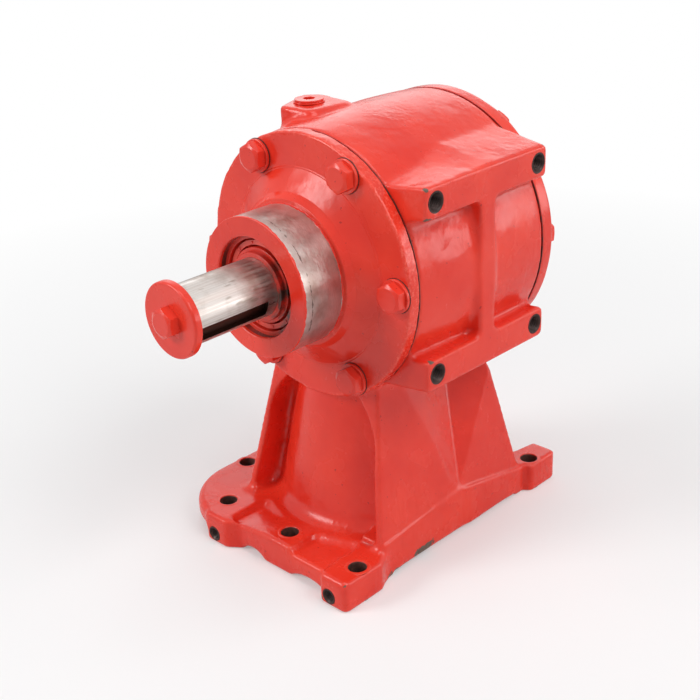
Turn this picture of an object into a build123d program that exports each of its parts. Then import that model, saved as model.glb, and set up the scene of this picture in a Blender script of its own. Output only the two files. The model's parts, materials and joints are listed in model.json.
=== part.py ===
from build123d import *
import os
from math import atan2, cos, degrees, pi, radians, sin, sqrt, tan

# Right-angle bevel gearbox, in millimetres.
# Origin: on the foot's seat, on the output shaft's axis. +Z up, the input shaft points to -Y.

# Main places
shaft_height = 228.0
front_parting = 62.0
rear_parting = 70.0
foot_thickness = 25.0
gasket_thickness = 0.5
paint_gap = 0.05
thread_gap = 0.05
running_gap = 0.06

# Barrel of the housing
barrel_crown_rise = 4.0
barrel_rear_rise = 3.0
barrel_wall = 9.0
cover_bore_margin = 9.5
end_ring_width = 20.0

# Cover bolts, metric 12
bolt_radius = 6.0
bolt_head_across = 19.0
bolt_head_height = 7.5
bolt_head_chamfer_share = 0.5
bolt_shank_length = 28.0
bolt_count = 6
bolt_edge_distance = 11.5
washer_radius = 12.0
washer_thickness = 2.5
bolt_hole_radius = 6.75
tap_depth_margin = 2.0

# Front cover
flange_radius = 97.0
flange_thickness = 10.0
boss_washer_gap = 1.5
boss_taper = 15.0
boss_length = 9.0
step_radius = 53.2
step_length = 5.0
nose_radius = 50.0
nose_length = 36.0
nose_mouth_radius = 36.0
nose_lip = 6.5
spigot_length = 8.0
spigot_wall = 8.0
spigot_draft = 4.0
cover_web_dish = 2.0
cover_edge_chamfer = 1.5

# Rear cover
rear_cover_thickness = 12.0
rear_dome_radius = 52.0
rear_dome_length = 12.0
rear_dome_chamfer = 5.0
rear_socket_wall = 10.0

# Deep groove ball bearings, 45 by 75 by 16
bearing_bore_radius = 22.5
bearing_outer_radius = 37.5
bearing_width = 16.0
race_wall = 3.1
race_shoulder = 1.3
ball_count = 12
cage_land_share = 0.55
cage_rim = 1.55
cage_pocket_gap = 0.25
rivet_radius = 0.9
rivet_height = 0.5
shoulder_depth = 4.5
shoulder_thickness = 6.0

# Input shaft
extension_radius = 21.0
extension_length = 66.2
main_radius = 26.0
gear_seat_radius = 24.0
rear_land_length = 3.0
rear_spacer_length = 4.0
keyway_width = 12.0
keyway_depth = 4.0
keyway_turn = 114.0
keyway_length = 58.0
keyway_end_margin = 3.0
collar_radius = 24.6
collar_length = 4.0
end_disc_radius = 26.3
end_disc_thickness = 6.0
end_disc_bolt_depth = 30.0
end_disc_chamfer = 1.0
shaft_chamfer = 1.0

# Bevel gears
tooth_module = 4.5
crown_teeth = 32
pinion_teeth = 16
face_width = 24.0
pressure_angle = 20.0
tooth_backlash = 0.32
addendum_share = 0.95
dedendum_share = 1.25
tooth_root_overlap = 0.6
flank_start_share = 0.8
flank_steps = 6
crown_hub_radius = 34.0
crown_hub_front = 24.0
crown_hub_back = 54.0
crown_rim_back = 50.0
crown_web_back = 44.0
crown_rim_width = 12.0
crown_rim_draft = 2.0
pinion_hub_radius = 25.5
pinion_rim_back = 5.0
gear_key_width = 10.0
gear_key_height = 8.0
gear_key_margin = 4.0
crown_key_width = 14.0
crown_key_height = 9.0
key_hub_relief = 1.0

# Output shaft
pinion_seat_radius = 16.0
pinion_thread_radius = 15.0
thread_tail = 3.0
lock_washer_thickness = 1.5
lock_washer_radius = 20.0
lock_nut_radius = 21.5
lock_nut_height = 7.0
lock_nut_slots = 4
lock_nut_slot_width = 5.0
lock_nut_slot_depth = 2.0
lower_bearing_bottom = 42.0
pinion_mounting = 88.0
output_tail_radius = 21.0
output_tail_bottom = 4.0
output_bore_radius = 14.0
output_bore_depth = 50.0
output_key_width = 8.0
output_key_depth = 3.3

# Seals and rings
seal_width = 10.0
seal_ring_gap = 6.0
seal_lip_gap = 0.06
seal_wall = 2.0
output_seal_radius = 31.0
output_seal_bottom = 24.0
output_seal_width = 8.0
inner_ring_thickness = 2.5
inner_ring_depth = 1.5
inner_ring_width = 5.0
shaft_ring_thickness = 1.75
shaft_ring_depth = 1.25
shaft_ring_width = 4.5
ring_mouth_angle = 24.0

# Bottom bearing cover
bottom_cover_radius = 56.0
bottom_cover_thickness = 10.0
register_radius = 58.0
register_depth = 3.0
register_end_gap = 0.5
bottom_cover_opening = 24.0
bottom_screw_radius = 4.0
bottom_screw_circle = 47.0
bottom_screw_count = 6
bottom_screw_turn = 30.0
bottom_screw_head_radius = 6.5
bottom_screw_head_height = 8.0
bottom_screw_length = 26.0
bottom_screw_socket = 6.0
bottom_screw_bore_gap = 0.5

# Pedestal
pedestal_top_drop = 78.0
pedestal_low_half_width = 72.5
pedestal_high_half_width = 51.5
pedestal_low_half_depth = 83.0
pedestal_high_half_depth = 58.5
panel_splay = 0.024
rib_thickness = 6.0
arch_spring_drop = 65.0
arch_shoulder_drop = 17.0
arch_shoulder_half_width = 33.0
arch_crown_drop = 10.0
arch_bulge = 6.0
haunch_share = 0.2
arch_recess_depth = 30.0
tube_low_radius = 82.5
tube_high_radius = 58.0
tube_flare = 12.0
tube_flare_sag = 3.6
side_scoop_apex = 40.0
side_scoop_shift = 4.0
side_scoop_half_angle = 25.5
side_scoop_lean = 9.0
side_scoop_depth = 11.0
side_scoop_top_drop = 22.0
oil_space_radius = 40.0

# Foot
foot_side_half_width = 72.0
foot_front = 121.0
foot_rear = 99.0
lug_front = 128.5
lug_rear = 124.0
lug_half_width = 80.0
lug_inner = 54.0
rear_lug_inner = 57.0
front_lug_side = 89.5
front_blend_middle = 78.0
front_blend_end = 64.0
front_blend_width = 5.5
rear_lug_side = 91.0
rear_blend = 4.0
left_lug_inner = 50.0
left_notch_run = 10.0
left_notch_rear = 4.0
foot_hole_radius = 6.75
foot_hole_half_spacing = 70.5
foot_front_hole = 105.5
foot_rear_hole = 99.5
foot_floor = 20.0
pocket_left = 15.0
pocket_right = 53.5
ramp_end = 12.0
hole_land_radius = 19.0
front_hole_boss_radius = 15.0
lug_tap_half_spacing = 63.0
lug_tap_height = 8.0
lug_tap_radius = 4.5
lug_tap_depth = 20.0
lug_edge_radius = 4.0
underside_arch_height = 6.0
underside_arch_depth = 30.0
underside_arch_inner = 14.0

# Side lobe of the foot
lobe_reach = 116.5
lobe_corner = 56.0
lobe_underside = 12.0
lobe_edge_radius = 5.0
lobe_hole_reach = 104.5
lobe_hole_front = 55.0
lobe_hole_rear = 49.0

# Side mounting face
pad_face_rise = 2.0
pad_centre_rise = 1.5
pad_centre_shift = 3.0
pad_tap_spacing_y = 110.0
pad_tap_spacing_z = 122.0
pad_height = 23.0
pad_end_margin = 10.0
pad_depth = 47.0
pad_slope = 6.0
pad_sweep = 9.0
pad_corner_radius = 4.0
pad_tap_radius = 6.0
pad_tap_depth = 20.0
pad_web_width = 16.0
pad_web_depth = 11.0

# Filler, level and drain plugs
filler_x = -42.0
filler_y = -21.0
filler_boss_rise = 1.0
filler_boss_left = 23.0
filler_boss_right = 24.0
filler_boss_front = 23.0
filler_boss_rear = 24.0
filler_boss_right_half = 19.0
filler_boss_front_left = 8.0
filler_boss_rear_left = 10.0
filler_boss_side_rear = 14.0
filler_boss_splay = 3.0
filler_boss_root = 66.0
filler_boss_corner = 6.0
plug_thread_radius = 8.0
plug_head_radius = 10.6
plug_head_height = 1.6
plug_thread_length = 14.0
plug_socket_across = 8.0
plug_washer_thickness = 1.0
plug_washer_radius = 11.4
level_plug_drop = 30.0
level_boss_radius = 15.0
level_boss_rise = 4.0
drain_height = 74.0
drain_boss_radius = 15.0
drain_boss_face = 80.0
drain_boss_wall = 4.0

# Places worked out from the sizes above
barrel_front_radius = flange_radius
barrel_crown_radius = flange_radius + barrel_crown_rise
barrel_rear_radius = flange_radius + barrel_rear_rise
chamber_radius = flange_radius - barrel_wall
bolt_circle_radius = flange_radius - bolt_edge_distance
cover_bore_radius = bolt_circle_radius - cover_bore_margin
boss_root_radius = bolt_circle_radius - washer_radius - boss_washer_gap
boss_top_radius = boss_root_radius - boss_taper
ball_circle_radius = (bearing_bore_radius + bearing_outer_radius) / 2
ball_radius = (bearing_outer_radius - bearing_bore_radius) / 2 - race_wall
land_height = ball_radius - race_shoulder
inner_land_radius = ball_circle_radius - land_height
outer_land_radius = ball_circle_radius + land_height
cage_thickness = 2 * cage_land_share * land_height
cage_width = 2 * (ball_radius + cage_pocket_gap + cage_rim)
front_joint = -front_parting - gasket_thickness
flange_face = front_joint - flange_thickness
boss_face = flange_face - boss_length
step_face = boss_face - step_length
nose_face = step_face - nose_length
nose_bearing_front = nose_face + nose_lip
nose_bearing_back = nose_bearing_front + bearing_width
rear_joint = rear_parting + gasket_thickness
rear_cover_face = rear_joint + rear_cover_thickness
rear_bearing_front = crown_hub_back + rear_spacer_length
rear_bearing_back = rear_bearing_front + bearing_width
input_end = rear_bearing_back + rear_land_length
disc_back = nose_face - extension_length
disc_front = disc_back - end_disc_thickness
lower_bearing_top = lower_bearing_bottom + bearing_width
pitch_crown = tooth_module * crown_teeth / 2
pitch_pinion = tooth_module * pinion_teeth / 2
cone_distance = sqrt(pitch_crown ** 2 + pitch_pinion ** 2)
crown_angle = atan2(pitch_crown, pitch_pinion)
pinion_angle = atan2(pitch_pinion, pitch_crown)
small_end_share = 1 - face_width / cone_distance
dedendum = dedendum_share * tooth_module
addendum = addendum_share * tooth_module
upper_bearing_top = shaft_height - pinion_mounting
upper_bearing_bottom = upper_bearing_top - bearing_width
pinion_top_drop = small_end_share * (pitch_crown + dedendum * sin(pinion_angle))
pinion_top = shaft_height - pinion_top_drop
lock_nut_top = pinion_top + lock_washer_thickness + lock_nut_height
output_top = lock_nut_top + thread_tail
pad_centre_z = shaft_height + pad_centre_rise
pad_face = barrel_crown_radius + pad_face_rise
pad_root = pad_face - pad_depth
pedestal_top = shaft_height - pedestal_top_drop
arch_spring = pedestal_top - arch_spring_drop
arch_shoulder = pedestal_top - arch_shoulder_drop
arch_crown = pedestal_top - arch_crown_drop
side_scoop_top = pedestal_top - side_scoop_top_drop
filler_boss_top = shaft_height + barrel_crown_radius + filler_boss_rise
level_boss_face = barrel_crown_radius + level_boss_rise
bottom_cover_recess = register_depth + register_end_gap
recess_top = bottom_cover_recess + bottom_cover_thickness + gasket_thickness


# Shape helpers

def about_input(points):
    """Turned body about the input axis, from points of radius and place along Y."""
    profile = make_face(Polyline(*points, close=True))
    return Pos(0, 0, shaft_height) * revolve(profile, Axis.Y)


def about_output(points):
    """Turned body about the output axis, from points of radius and height."""
    profile = Plane.XZ * make_face(Polyline(*points, close=True))
    return revolve(profile, Axis.Z)


def ring_on_input(inner, outer, start, end):
    return about_input([(inner, start), (outer, start), (outer, end), (inner, end)])


def ring_on_output(inner, outer, low, high):
    return about_output([(inner, low), (outer, low), (outer, high), (inner, high)])


def rod(radius, start, end):
    """Round bar between two points."""
    axis = Vector(*end) - Vector(*start)
    return Solid.make_cylinder(radius, axis.length, Plane(origin=start, z_dir=axis))


def block(low, high):
    """Box between two opposite corners."""
    size = Vector(*high) - Vector(*low)
    middle = (Vector(*low) + Vector(*high)) / 2
    return Pos(middle.X, middle.Y, middle.Z) * Box(size.X, size.Y, size.Z)


def hexagon_bar(across, start, end):
    axis = Vector(*end) - Vector(*start)
    outline = Plane(origin=start, z_dir=axis) * RegularPolygon(across / 2, 6, major_radius=False)
    return extrude(outline, axis.length, dir=axis.normalized())


def group(solids):
    return Compound(children=list(solids))


def solid_of(shape):
    """The one solid that a boolean leaves, without its wrapper."""
    return max(shape.solids(), key=lambda piece: piece.volume)


def circle_places(radius, count, start=0.0):
    """Angles' sines and cosines times a radius, evenly spaced."""
    step = 360.0 / count
    angles = [radians(start + step * index) for index in range(count)]
    return [(radius * cos(angle), radius * sin(angle)) for angle in angles]


# Housing

def barrel():
    outline = Polyline(
        (barrel_front_radius, -front_parting),
        (0, -front_parting),
        (0, rear_parting),
        (barrel_rear_radius, rear_parting),
    )
    crown = ThreePointArc(
        (barrel_rear_radius, rear_parting),
        (barrel_crown_radius, (rear_parting - front_parting) / 2),
        (barrel_front_radius, -front_parting),
    )
    return Pos(0, 0, shaft_height) * revolve(make_face(outline + crown), Axis.Y)


def half_width_at(height):
    share = (height - foot_thickness) / (pedestal_top - foot_thickness)
    return pedestal_low_half_width + share * (pedestal_high_half_width - pedestal_low_half_width)


def half_depth_at(height):
    share = (height - foot_thickness) / (pedestal_top - foot_thickness)
    return pedestal_low_half_depth + share * (pedestal_high_half_depth - pedestal_low_half_depth)


def pedestal_section(height):
    side = half_width_at(height)
    depth = half_depth_at(height)
    middle = side + panel_splay * depth
    corners = [(side, -depth), (middle, 0), (side, depth), (-side, depth), (-middle, 0), (-side, -depth)]
    return Pos(0, 0, height) * make_face(Polyline(*corners, close=True))


def pedestal_block():
    low = foot_thickness / 2
    sides = loft([pedestal_section(low), pedestal_section(pedestal_top)], ruled=True)
    reach = half_depth_at(0)
    limit = block(
        (-foot_side_half_width, -reach, 0),
        (foot_side_half_width, reach, pedestal_top),
    )
    return sides & limit


def arch_cutter(direction):
    """Space between the corner ribs, closed above by an arch."""
    low = half_width_at(foot_thickness) - rib_thickness
    spring = half_width_at(arch_spring) - rib_thickness
    shoulder = arch_shoulder_half_width
    rise = (arch_spring + arch_shoulder) / 2
    haunch = (spring + shoulder) / 2 + (spring - shoulder) * haunch_share
    outline = (
        Polyline((-spring, arch_spring), (-low, foot_thickness), (low, foot_thickness), (spring, arch_spring))
        + ThreePointArc((spring, arch_spring), (haunch, rise + arch_bulge), (shoulder, arch_shoulder))
        + ThreePointArc((shoulder, arch_shoulder), (0, arch_crown), (-shoulder, arch_shoulder))
        + ThreePointArc((-shoulder, arch_shoulder), (-haunch, rise + arch_bulge), (-spring, arch_spring))
    )
    reach = half_depth_at(0)
    face = Plane.XZ * make_face(outline)
    near = direction * arch_recess_depth
    return extrude(Pos(0, near, 0) * face, reach, dir=(0, direction, 0))


def centre_tube():
    """Round cone round the output shaft, with a flare at its foot."""
    share = tube_flare / (pedestal_top - foot_thickness)
    flare_radius = tube_low_radius + share * (tube_high_radius - tube_low_radius)
    outline = Polyline(
        (tube_low_radius + tube_flare, foot_thickness),
        (tube_low_radius + tube_flare, foot_thickness / 2),
        (0, foot_thickness / 2),
        (0, pedestal_top),
        (tube_high_radius, pedestal_top),
        (flare_radius, foot_thickness + tube_flare),
    )
    flare = ThreePointArc(
        (flare_radius, foot_thickness + tube_flare),
        (flare_radius + tube_flare_sag, foot_thickness + tube_flare_sag),
        (tube_low_radius + tube_flare, foot_thickness),
    )
    cone = revolve(Plane.XZ * make_face(outline + flare), Axis.Z)
    keep = loft(
        [
            Pos(0, 0, height) * Rectangle(2 * half_width_at(height) - rib_thickness, 4 * tube_low_radius)
            for height in (foot_thickness / 2, pedestal_top)
        ],
        ruled=True,
    )
    return cone & keep


def side_scoop(side):
    """Tapering scoop in a side panel, a cone whose point lies on the panel."""
    rise = side_scoop_top - side_scoop_apex
    panel_lean = atan2(pedestal_low_half_width - pedestal_high_half_width, pedestal_top - foot_thickness)
    dip = atan2(side_scoop_depth, rise)
    opening = radians(side_scoop_half_angle)
    tilt = atan2(cos(dip) - cos(opening), sin(dip))
    outward = tilt - panel_lean
    lean = radians(side_scoop_lean)
    direction = Vector(sin(outward) * side, cos(outward) * sin(lean), cos(outward) * cos(lean))
    point_x = half_width_at(side_scoop_apex) * side
    base = Plane(origin=(point_x, side_scoop_shift, side_scoop_apex), z_dir=direction)
    length = rise * 2
    return Solid.make_cone(0, length * tan(tilt + dip), length, base) & block(
        (min(0, side * pad_face), -pedestal_low_half_depth, side_scoop_apex - 1),
        (max(0, side * pad_face), pedestal_low_half_depth, side_scoop_top),
    )


def pedestal():
    body = pedestal_block() - arch_cutter(-1) - arch_cutter(1)
    body = body + centre_tube()
    body = body - side_scoop(1) - side_scoop(-1)
    return body


def foot_outline():
    outline = Polyline(
        (lug_half_width, -front_lug_side),
        (lug_half_width, -lug_front),
        (lug_inner, -lug_front),
        (lug_inner, -foot_front),
        (left_notch_run - left_lug_inner, -foot_front),
        (-left_lug_inner, -lug_front),
        (-foot_side_half_width, -lug_front),
        (-foot_side_half_width, lug_rear),
        (-rear_lug_inner, lug_rear),
        (left_notch_rear - rear_lug_inner, foot_rear),
        (rear_lug_inner - left_notch_rear, foot_rear),
        (rear_lug_inner, lug_rear),
        (lug_half_width, lug_rear),
        (lug_half_width, rear_lug_side),
        (foot_side_half_width, rear_lug_side - rear_blend),
        (foot_side_half_width, -front_blend_end),
    )
    blend = ThreePointArc(
        (foot_side_half_width, -front_blend_end),
        (lug_half_width - front_blend_width, -front_blend_middle),
        (lug_half_width, -front_lug_side),
    )
    return make_face(outline + blend)


def lobe():
    """Raised flat ear on the left of the foot, with a rounded rim."""
    bend = lobe_corner * sqrt(0.5)
    centre_x = lobe_corner - lobe_reach
    front_turn = lobe_corner - lug_front
    rear_turn = lug_rear - lobe_corner
    inner = Polyline(
        (centre_x, -lug_front),
        (-left_lug_inner, -lug_front),
        (-rear_lug_inner, lug_rear),
        (centre_x, lug_rear),
    )
    rear_arc = ThreePointArc(
        (centre_x, lug_rear), (centre_x - bend, rear_turn + bend), (-lobe_reach, rear_turn)
    )
    side = Line((-lobe_reach, rear_turn), (-lobe_reach, front_turn))
    front_arc = ThreePointArc(
        (-lobe_reach, front_turn), (centre_x - bend, front_turn - bend), (centre_x, -lug_front)
    )
    outline = make_face(inner + rear_arc + side + front_arc)
    plate = extrude(Pos(0, 0, lobe_underside) * outline, foot_thickness - lobe_underside)
    rim = plate.edges().group_by(Axis.Z)[-1].filter_by(
        lambda edge: edge.center().X < centre_x - 1 or edge.center().Y < 1 - lug_front
    )
    return fillet(rim, lobe_edge_radius)


def foot():
    plate = extrude(foot_outline(), foot_thickness)
    corners = plate.edges().filter_by(Axis.Z).filter_by(
        lambda edge: edge.center().X > lug_half_width - 1
    )
    plate = fillet(corners, lug_edge_radius)
    front = plate.edges().group_by(Axis.Z)[-1].filter_by(
        lambda edge: edge.center().Y < -lug_front + lug_edge_radius and edge.center().X > lug_inner
    )
    plate = fillet(front, lug_edge_radius)
    plate = plate - front_floor() + lobe()
    left_arch = underside_arch(left_notch_run - left_lug_inner, -underside_arch_inner)
    right_arch = underside_arch(underside_arch_inner, lug_inner)
    return plate - left_arch - right_arch


def front_floor():
    """Sunk floor in front of the pedestal: a ramp, and a pocket between two round lands."""
    over = foot_thickness + 1
    back = half_depth_at(0) / 2
    front = foot_front + 1
    ramp = Polyline(
        (-left_lug_inner, foot_floor),
        (-ramp_end, foot_thickness),
        (-ramp_end, over),
        (-left_lug_inner, over),
        close=True,
    )
    left = extrude(Pos(0, -back, 0) * (Plane.XZ * make_face(ramp)), front - back, dir=(0, -1, 0))
    right = block((pocket_left, -front, foot_floor), (pocket_right, -back, over))
    for x, radius in ((0, front_hole_boss_radius), (foot_hole_half_spacing, hole_land_radius)):
        right = right - rod(radius, (x, -foot_front_hole, 0), (x, -foot_front_hole, over))
    return left + right


def underside_arch(start, end):
    """Shallow cast relief under the front wall."""
    middle = (start + end) / 2
    outline = Polyline((start, 0), (end, 0)) + ThreePointArc(
        (end, 0), (middle, underside_arch_height), (start, 0)
    )
    face = Plane.XZ * make_face(outline)
    return extrude(Pos(0, -lug_front, 0) * face, underside_arch_depth, dir=(0, 1, 0))


def foot_hole_places():
    places = [(side * foot_hole_half_spacing, -foot_front_hole) for side in (-1, 0, 1)]
    places += [(side * foot_hole_half_spacing, foot_rear_hole) for side in (-1, 1)]
    places += [(-lobe_hole_reach, -lobe_hole_front), (-lobe_hole_reach, lobe_hole_rear)]
    return places


def foot_holes():
    over = foot_thickness + 1
    holes = [rod(foot_hole_radius, (x, y, -1), (x, y, over)) for x, y in foot_hole_places()]
    for side in (-1, 1):
        x = side * lug_tap_half_spacing
        start = (x, -lug_front - 1, lug_tap_height)
        end = (x, -lug_front + lug_tap_depth, lug_tap_height)
        holes.append(rod(lug_tap_radius, start, end))
    return holes


def pad_tap_places():
    half_y = pad_tap_spacing_y / 2
    half_z = pad_tap_spacing_z / 2
    return [
        (pad_centre_shift + step_y * half_y, pad_centre_z + step_z * half_z)
        for step_y in (-1, 1)
        for step_z in (-1, 1)
    ]


def pad_section(centre, place, root_rise):
    """Section of a pad at one place along it; the rise is where its top meets the barrel."""
    half = pad_height / 2
    outline = Polyline(
        (pad_face, centre - half),
        (pad_face, centre + half),
        (pad_root, centre + half + root_rise),
        (pad_root, centre - half - pad_slope),
        close=True,
    )
    return Pos(0, place, 0) * (Plane.XZ * make_face(outline))


def side_pad(direction):
    """One of the two tapped pads; the upper one's back sweeps up into the barrel."""
    centre = pad_centre_z + direction * pad_tap_spacing_z / 2
    length = pad_tap_spacing_y + 2 * pad_end_margin
    start = pad_centre_shift - length / 2
    sweep = pad_sweep if direction > 0 else -pad_slope
    sections = [
        pad_section(centre, start, -pad_slope),
        pad_section(centre, pad_centre_shift, sweep),
        pad_section(centre, start + length, sweep),
    ]
    pad = loft(sections, ruled=True)
    rear_edges = pad.edges().group_by(Axis.Y)[-1].filter_by(
        lambda edge: abs((edge @ 1 - edge @ 0).X) > pad_face - pad_root - 1
    )
    return fillet(rear_edges, pad_corner_radius)


def side_web():
    half = pad_web_width / 2
    rise = pad_tap_spacing_z / 2
    low = (pad_face - pad_web_depth, pad_centre_shift - half, pad_centre_z - rise)
    high = (pad_face, pad_centre_shift + half, pad_centre_z + rise)
    return block(low, high)


def pad_taps():
    return [
        rod(pad_tap_radius, (pad_face - pad_tap_depth, y, z), (pad_face + 1, y, z))
        for y, z in pad_tap_places()
    ]


def filler_boss():
    corners = [
        (filler_x - filler_boss_front_left, filler_y - filler_boss_front),
        (filler_x + filler_boss_right - filler_boss_splay, filler_y - filler_boss_right_half),
        (filler_x + filler_boss_right, filler_y + filler_boss_right_half),
        (filler_x - filler_boss_rear_left, filler_y + filler_boss_rear),
        (filler_x - filler_boss_left, filler_y + filler_boss_side_rear),
    ]
    low = shaft_height + filler_boss_root
    outline = Pos(0, 0, low) * make_face(Polyline(*corners, close=True))
    boss = extrude(outline, filler_boss_top - low)
    upright = boss.edges().filter_by(Axis.Z)
    return fillet(upright, filler_boss_corner)


def level_plug_place():
    return (-level_boss_face, 0, shaft_height - level_plug_drop)


def drain_plug_place():
    return (0, drain_boss_face, drain_height)


def plug_bosses():
    level = level_plug_place()
    drain = drain_plug_place()
    level_boss = rod(level_boss_radius, level, (-cover_bore_radius, level[1], level[2]))
    drain_boss = rod(drain_boss_radius, drain, (drain[0], oil_space_radius + drain_boss_wall, drain[2]))
    return [level_boss, drain_boss]


def plug_holes():
    reach = plug_thread_radius + thread_gap
    level = level_plug_place()
    drain = drain_plug_place()
    return [
        rod(reach, (filler_x, filler_y, shaft_height), (filler_x, filler_y, filler_boss_top + 1)),
        rod(reach, (level[0] - 1, level[1], level[2]), (0, level[1], level[2])),
        rod(reach, (drain[0], drain[1] + 1, drain[2]), (0, 0, drain[2])),
    ]


def chamber():
    back = rear_parting - end_ring_width
    front = -front_parting + end_ring_width
    return about_input(
        [
            (0, -front_parting - 1),
            (cover_bore_radius, -front_parting - 1),
            (cover_bore_radius, front),
            (chamber_radius, front),
            (chamber_radius, back),
            (cover_bore_radius, back),
            (cover_bore_radius, rear_parting + 1),
            (0, rear_parting + 1),
        ]
    )


def output_bores():
    lip = bearing_outer_radius - shoulder_depth
    return about_output(
        [
            (0, -1),
            (register_radius, -1),
            (register_radius, register_depth),
            (bottom_cover_radius + paint_gap, register_depth),
            (bottom_cover_radius + paint_gap, recess_top),
            (bearing_outer_radius, recess_top),
            (bearing_outer_radius, lower_bearing_top),
            (lip, lower_bearing_top),
            (lip, lower_bearing_top + shoulder_thickness),
            (oil_space_radius, lower_bearing_top + shoulder_thickness),
            (oil_space_radius, upper_bearing_bottom - shoulder_thickness),
            (lip, upper_bearing_bottom - shoulder_thickness),
            (lip, upper_bearing_bottom),
            (bearing_outer_radius, upper_bearing_bottom),
            (bearing_outer_radius, shaft_height),
            (0, shaft_height),
        ]
    )


def cover_taps(face, direction):
    """Tapped holes of one cover, into the housing from its joint face."""
    depth = end_ring_width - tap_depth_margin
    holes = []
    for x, z in circle_places(bolt_circle_radius, bolt_count):
        start = (x, face + direction, shaft_height + z)
        end = (x, face - direction * depth, shaft_height + z)
        holes.append(rod(bolt_radius + thread_gap, start, end))
    return holes


def bottom_screw_taps():
    top = bottom_cover_recess + bottom_screw_length + tap_depth_margin
    return [
        rod(bottom_screw_radius + thread_gap, (x, y, 0), (x, y, top))
        for x, y in circle_places(bottom_screw_circle, bottom_screw_count, bottom_screw_turn)
    ]


def housing():
    body = barrel() + pedestal() + foot() + side_pad(1) + side_pad(-1) + side_web() + filler_boss()
    for boss in plug_bosses():
        body = body + boss
    body = body - chamber() - output_bores()
    cuts = cover_taps(-front_parting, -1) + cover_taps(rear_parting, 1)
    cuts += foot_holes() + pad_taps() + plug_holes() + bottom_screw_taps()
    for cut in cuts:
        body = body - cut
    return solid_of(body)


# Covers and gaskets

def flange_bolt_holes(start, end):
    return [
        rod(bolt_hole_radius, (x, start, shaft_height + z), (x, end, shaft_height + z))
        for x, z in circle_places(bolt_circle_radius, bolt_count)
    ]


def front_cover():
    spigot = cover_bore_radius - paint_gap
    spigot_end = front_joint + gasket_thickness + spigot_length
    groove = bearing_outer_radius + inner_ring_depth
    groove_front = nose_bearing_back
    groove_back = groove_front + inner_ring_thickness
    body = about_input(
        [
            (nose_mouth_radius, nose_face),
            (nose_radius - shaft_chamfer, nose_face),
            (nose_radius, nose_face + shaft_chamfer),
            (nose_radius, step_face),
            (step_radius, step_face),
            (boss_top_radius, boss_face),
            (boss_root_radius, flange_face),
            (flange_radius - cover_edge_chamfer, flange_face),
            (flange_radius, flange_face + cover_edge_chamfer),
            (flange_radius, front_joint),
            (spigot, front_joint),
            (spigot, spigot_end),
            (spigot - spigot_wall, spigot_end),
            (spigot - spigot_wall - spigot_draft, flange_face),
            (bearing_outer_radius, flange_face - cover_web_dish),
            (bearing_outer_radius, groove_back),
            (groove, groove_back),
            (groove, groove_front),
            (bearing_outer_radius, groove_front),
            (bearing_outer_radius, nose_bearing_front),
            (nose_mouth_radius, nose_bearing_front),
        ]
    )
    for hole in flange_bolt_holes(flange_face - 1, front_joint + 1):
        body = body - hole
    return solid_of(body)


def rear_cover():
    spigot = cover_bore_radius - paint_gap
    spigot_end = rear_parting - spigot_length
    socket = bearing_outer_radius + rear_socket_wall
    lip = bearing_outer_radius - shoulder_depth
    dome_face = rear_cover_face + rear_dome_length
    body = about_input(
        [
            (0, input_end + rear_land_length),
            (lip, input_end + rear_land_length),
            (lip, rear_bearing_back),
            (bearing_outer_radius, rear_bearing_back),
            (bearing_outer_radius, rear_bearing_front),
            (socket, rear_bearing_front),
            (socket, rear_joint),
            (spigot - spigot_wall, rear_joint),
            (spigot - spigot_wall, spigot_end),
            (spigot, spigot_end),
            (spigot, rear_joint),
            (barrel_rear_radius, rear_joint),
            (barrel_rear_radius, rear_cover_face - 2 * cover_edge_chamfer),
            (barrel_rear_radius - 2 * cover_edge_chamfer, rear_cover_face),
            (rear_dome_radius, rear_cover_face),
            (rear_dome_radius, dome_face - rear_dome_chamfer),
            (rear_dome_radius - rear_dome_chamfer, dome_face),
            (0, dome_face),
        ]
    )
    for hole in flange_bolt_holes(rear_joint - 1, rear_cover_face + 1):
        body = body - hole
    return solid_of(body)


def joint_gasket(outer, start):
    body = ring_on_input(cover_bore_radius, outer, start, start + gasket_thickness)
    for hole in flange_bolt_holes(start - 1, start + gasket_thickness + 1):
        body = body - hole
    return solid_of(body)


def bottom_cover():
    low = bottom_cover_recess
    plate_top = low + bottom_cover_thickness
    body = about_output(
        [
            (bottom_cover_opening, low),
            (bottom_cover_radius, low),
            (bottom_cover_radius, plate_top),
            (bearing_outer_radius - paint_gap, plate_top),
            (bearing_outer_radius - paint_gap, lower_bearing_bottom),
            (output_seal_radius, lower_bearing_bottom),
            (output_seal_radius, output_seal_bottom),
            (bottom_cover_opening, output_seal_bottom),
        ]
    )
    for x, y in circle_places(bottom_screw_circle, bottom_screw_count, bottom_screw_turn):
        clearance = bottom_screw_radius + bottom_screw_bore_gap
        recess = bottom_screw_head_radius + bottom_screw_bore_gap
        head_top = low + bottom_screw_head_height
        body = body - rod(clearance, (x, y, 0), (x, y, plate_top + 1))
        body = body - rod(recess, (x, y, 0), (x, y, head_top))
    return solid_of(body)


def bottom_gasket():
    low = bottom_cover_recess + bottom_cover_thickness
    body = ring_on_output(bearing_outer_radius, bottom_cover_radius, low, low + gasket_thickness)
    for x, y in circle_places(bottom_screw_circle, bottom_screw_count, bottom_screw_turn):
        hole = rod(bottom_screw_radius + bottom_screw_bore_gap, (x, y, low - 1), (x, y, low + 1))
        body = body - hole
    return solid_of(body)


# Fasteners

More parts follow.
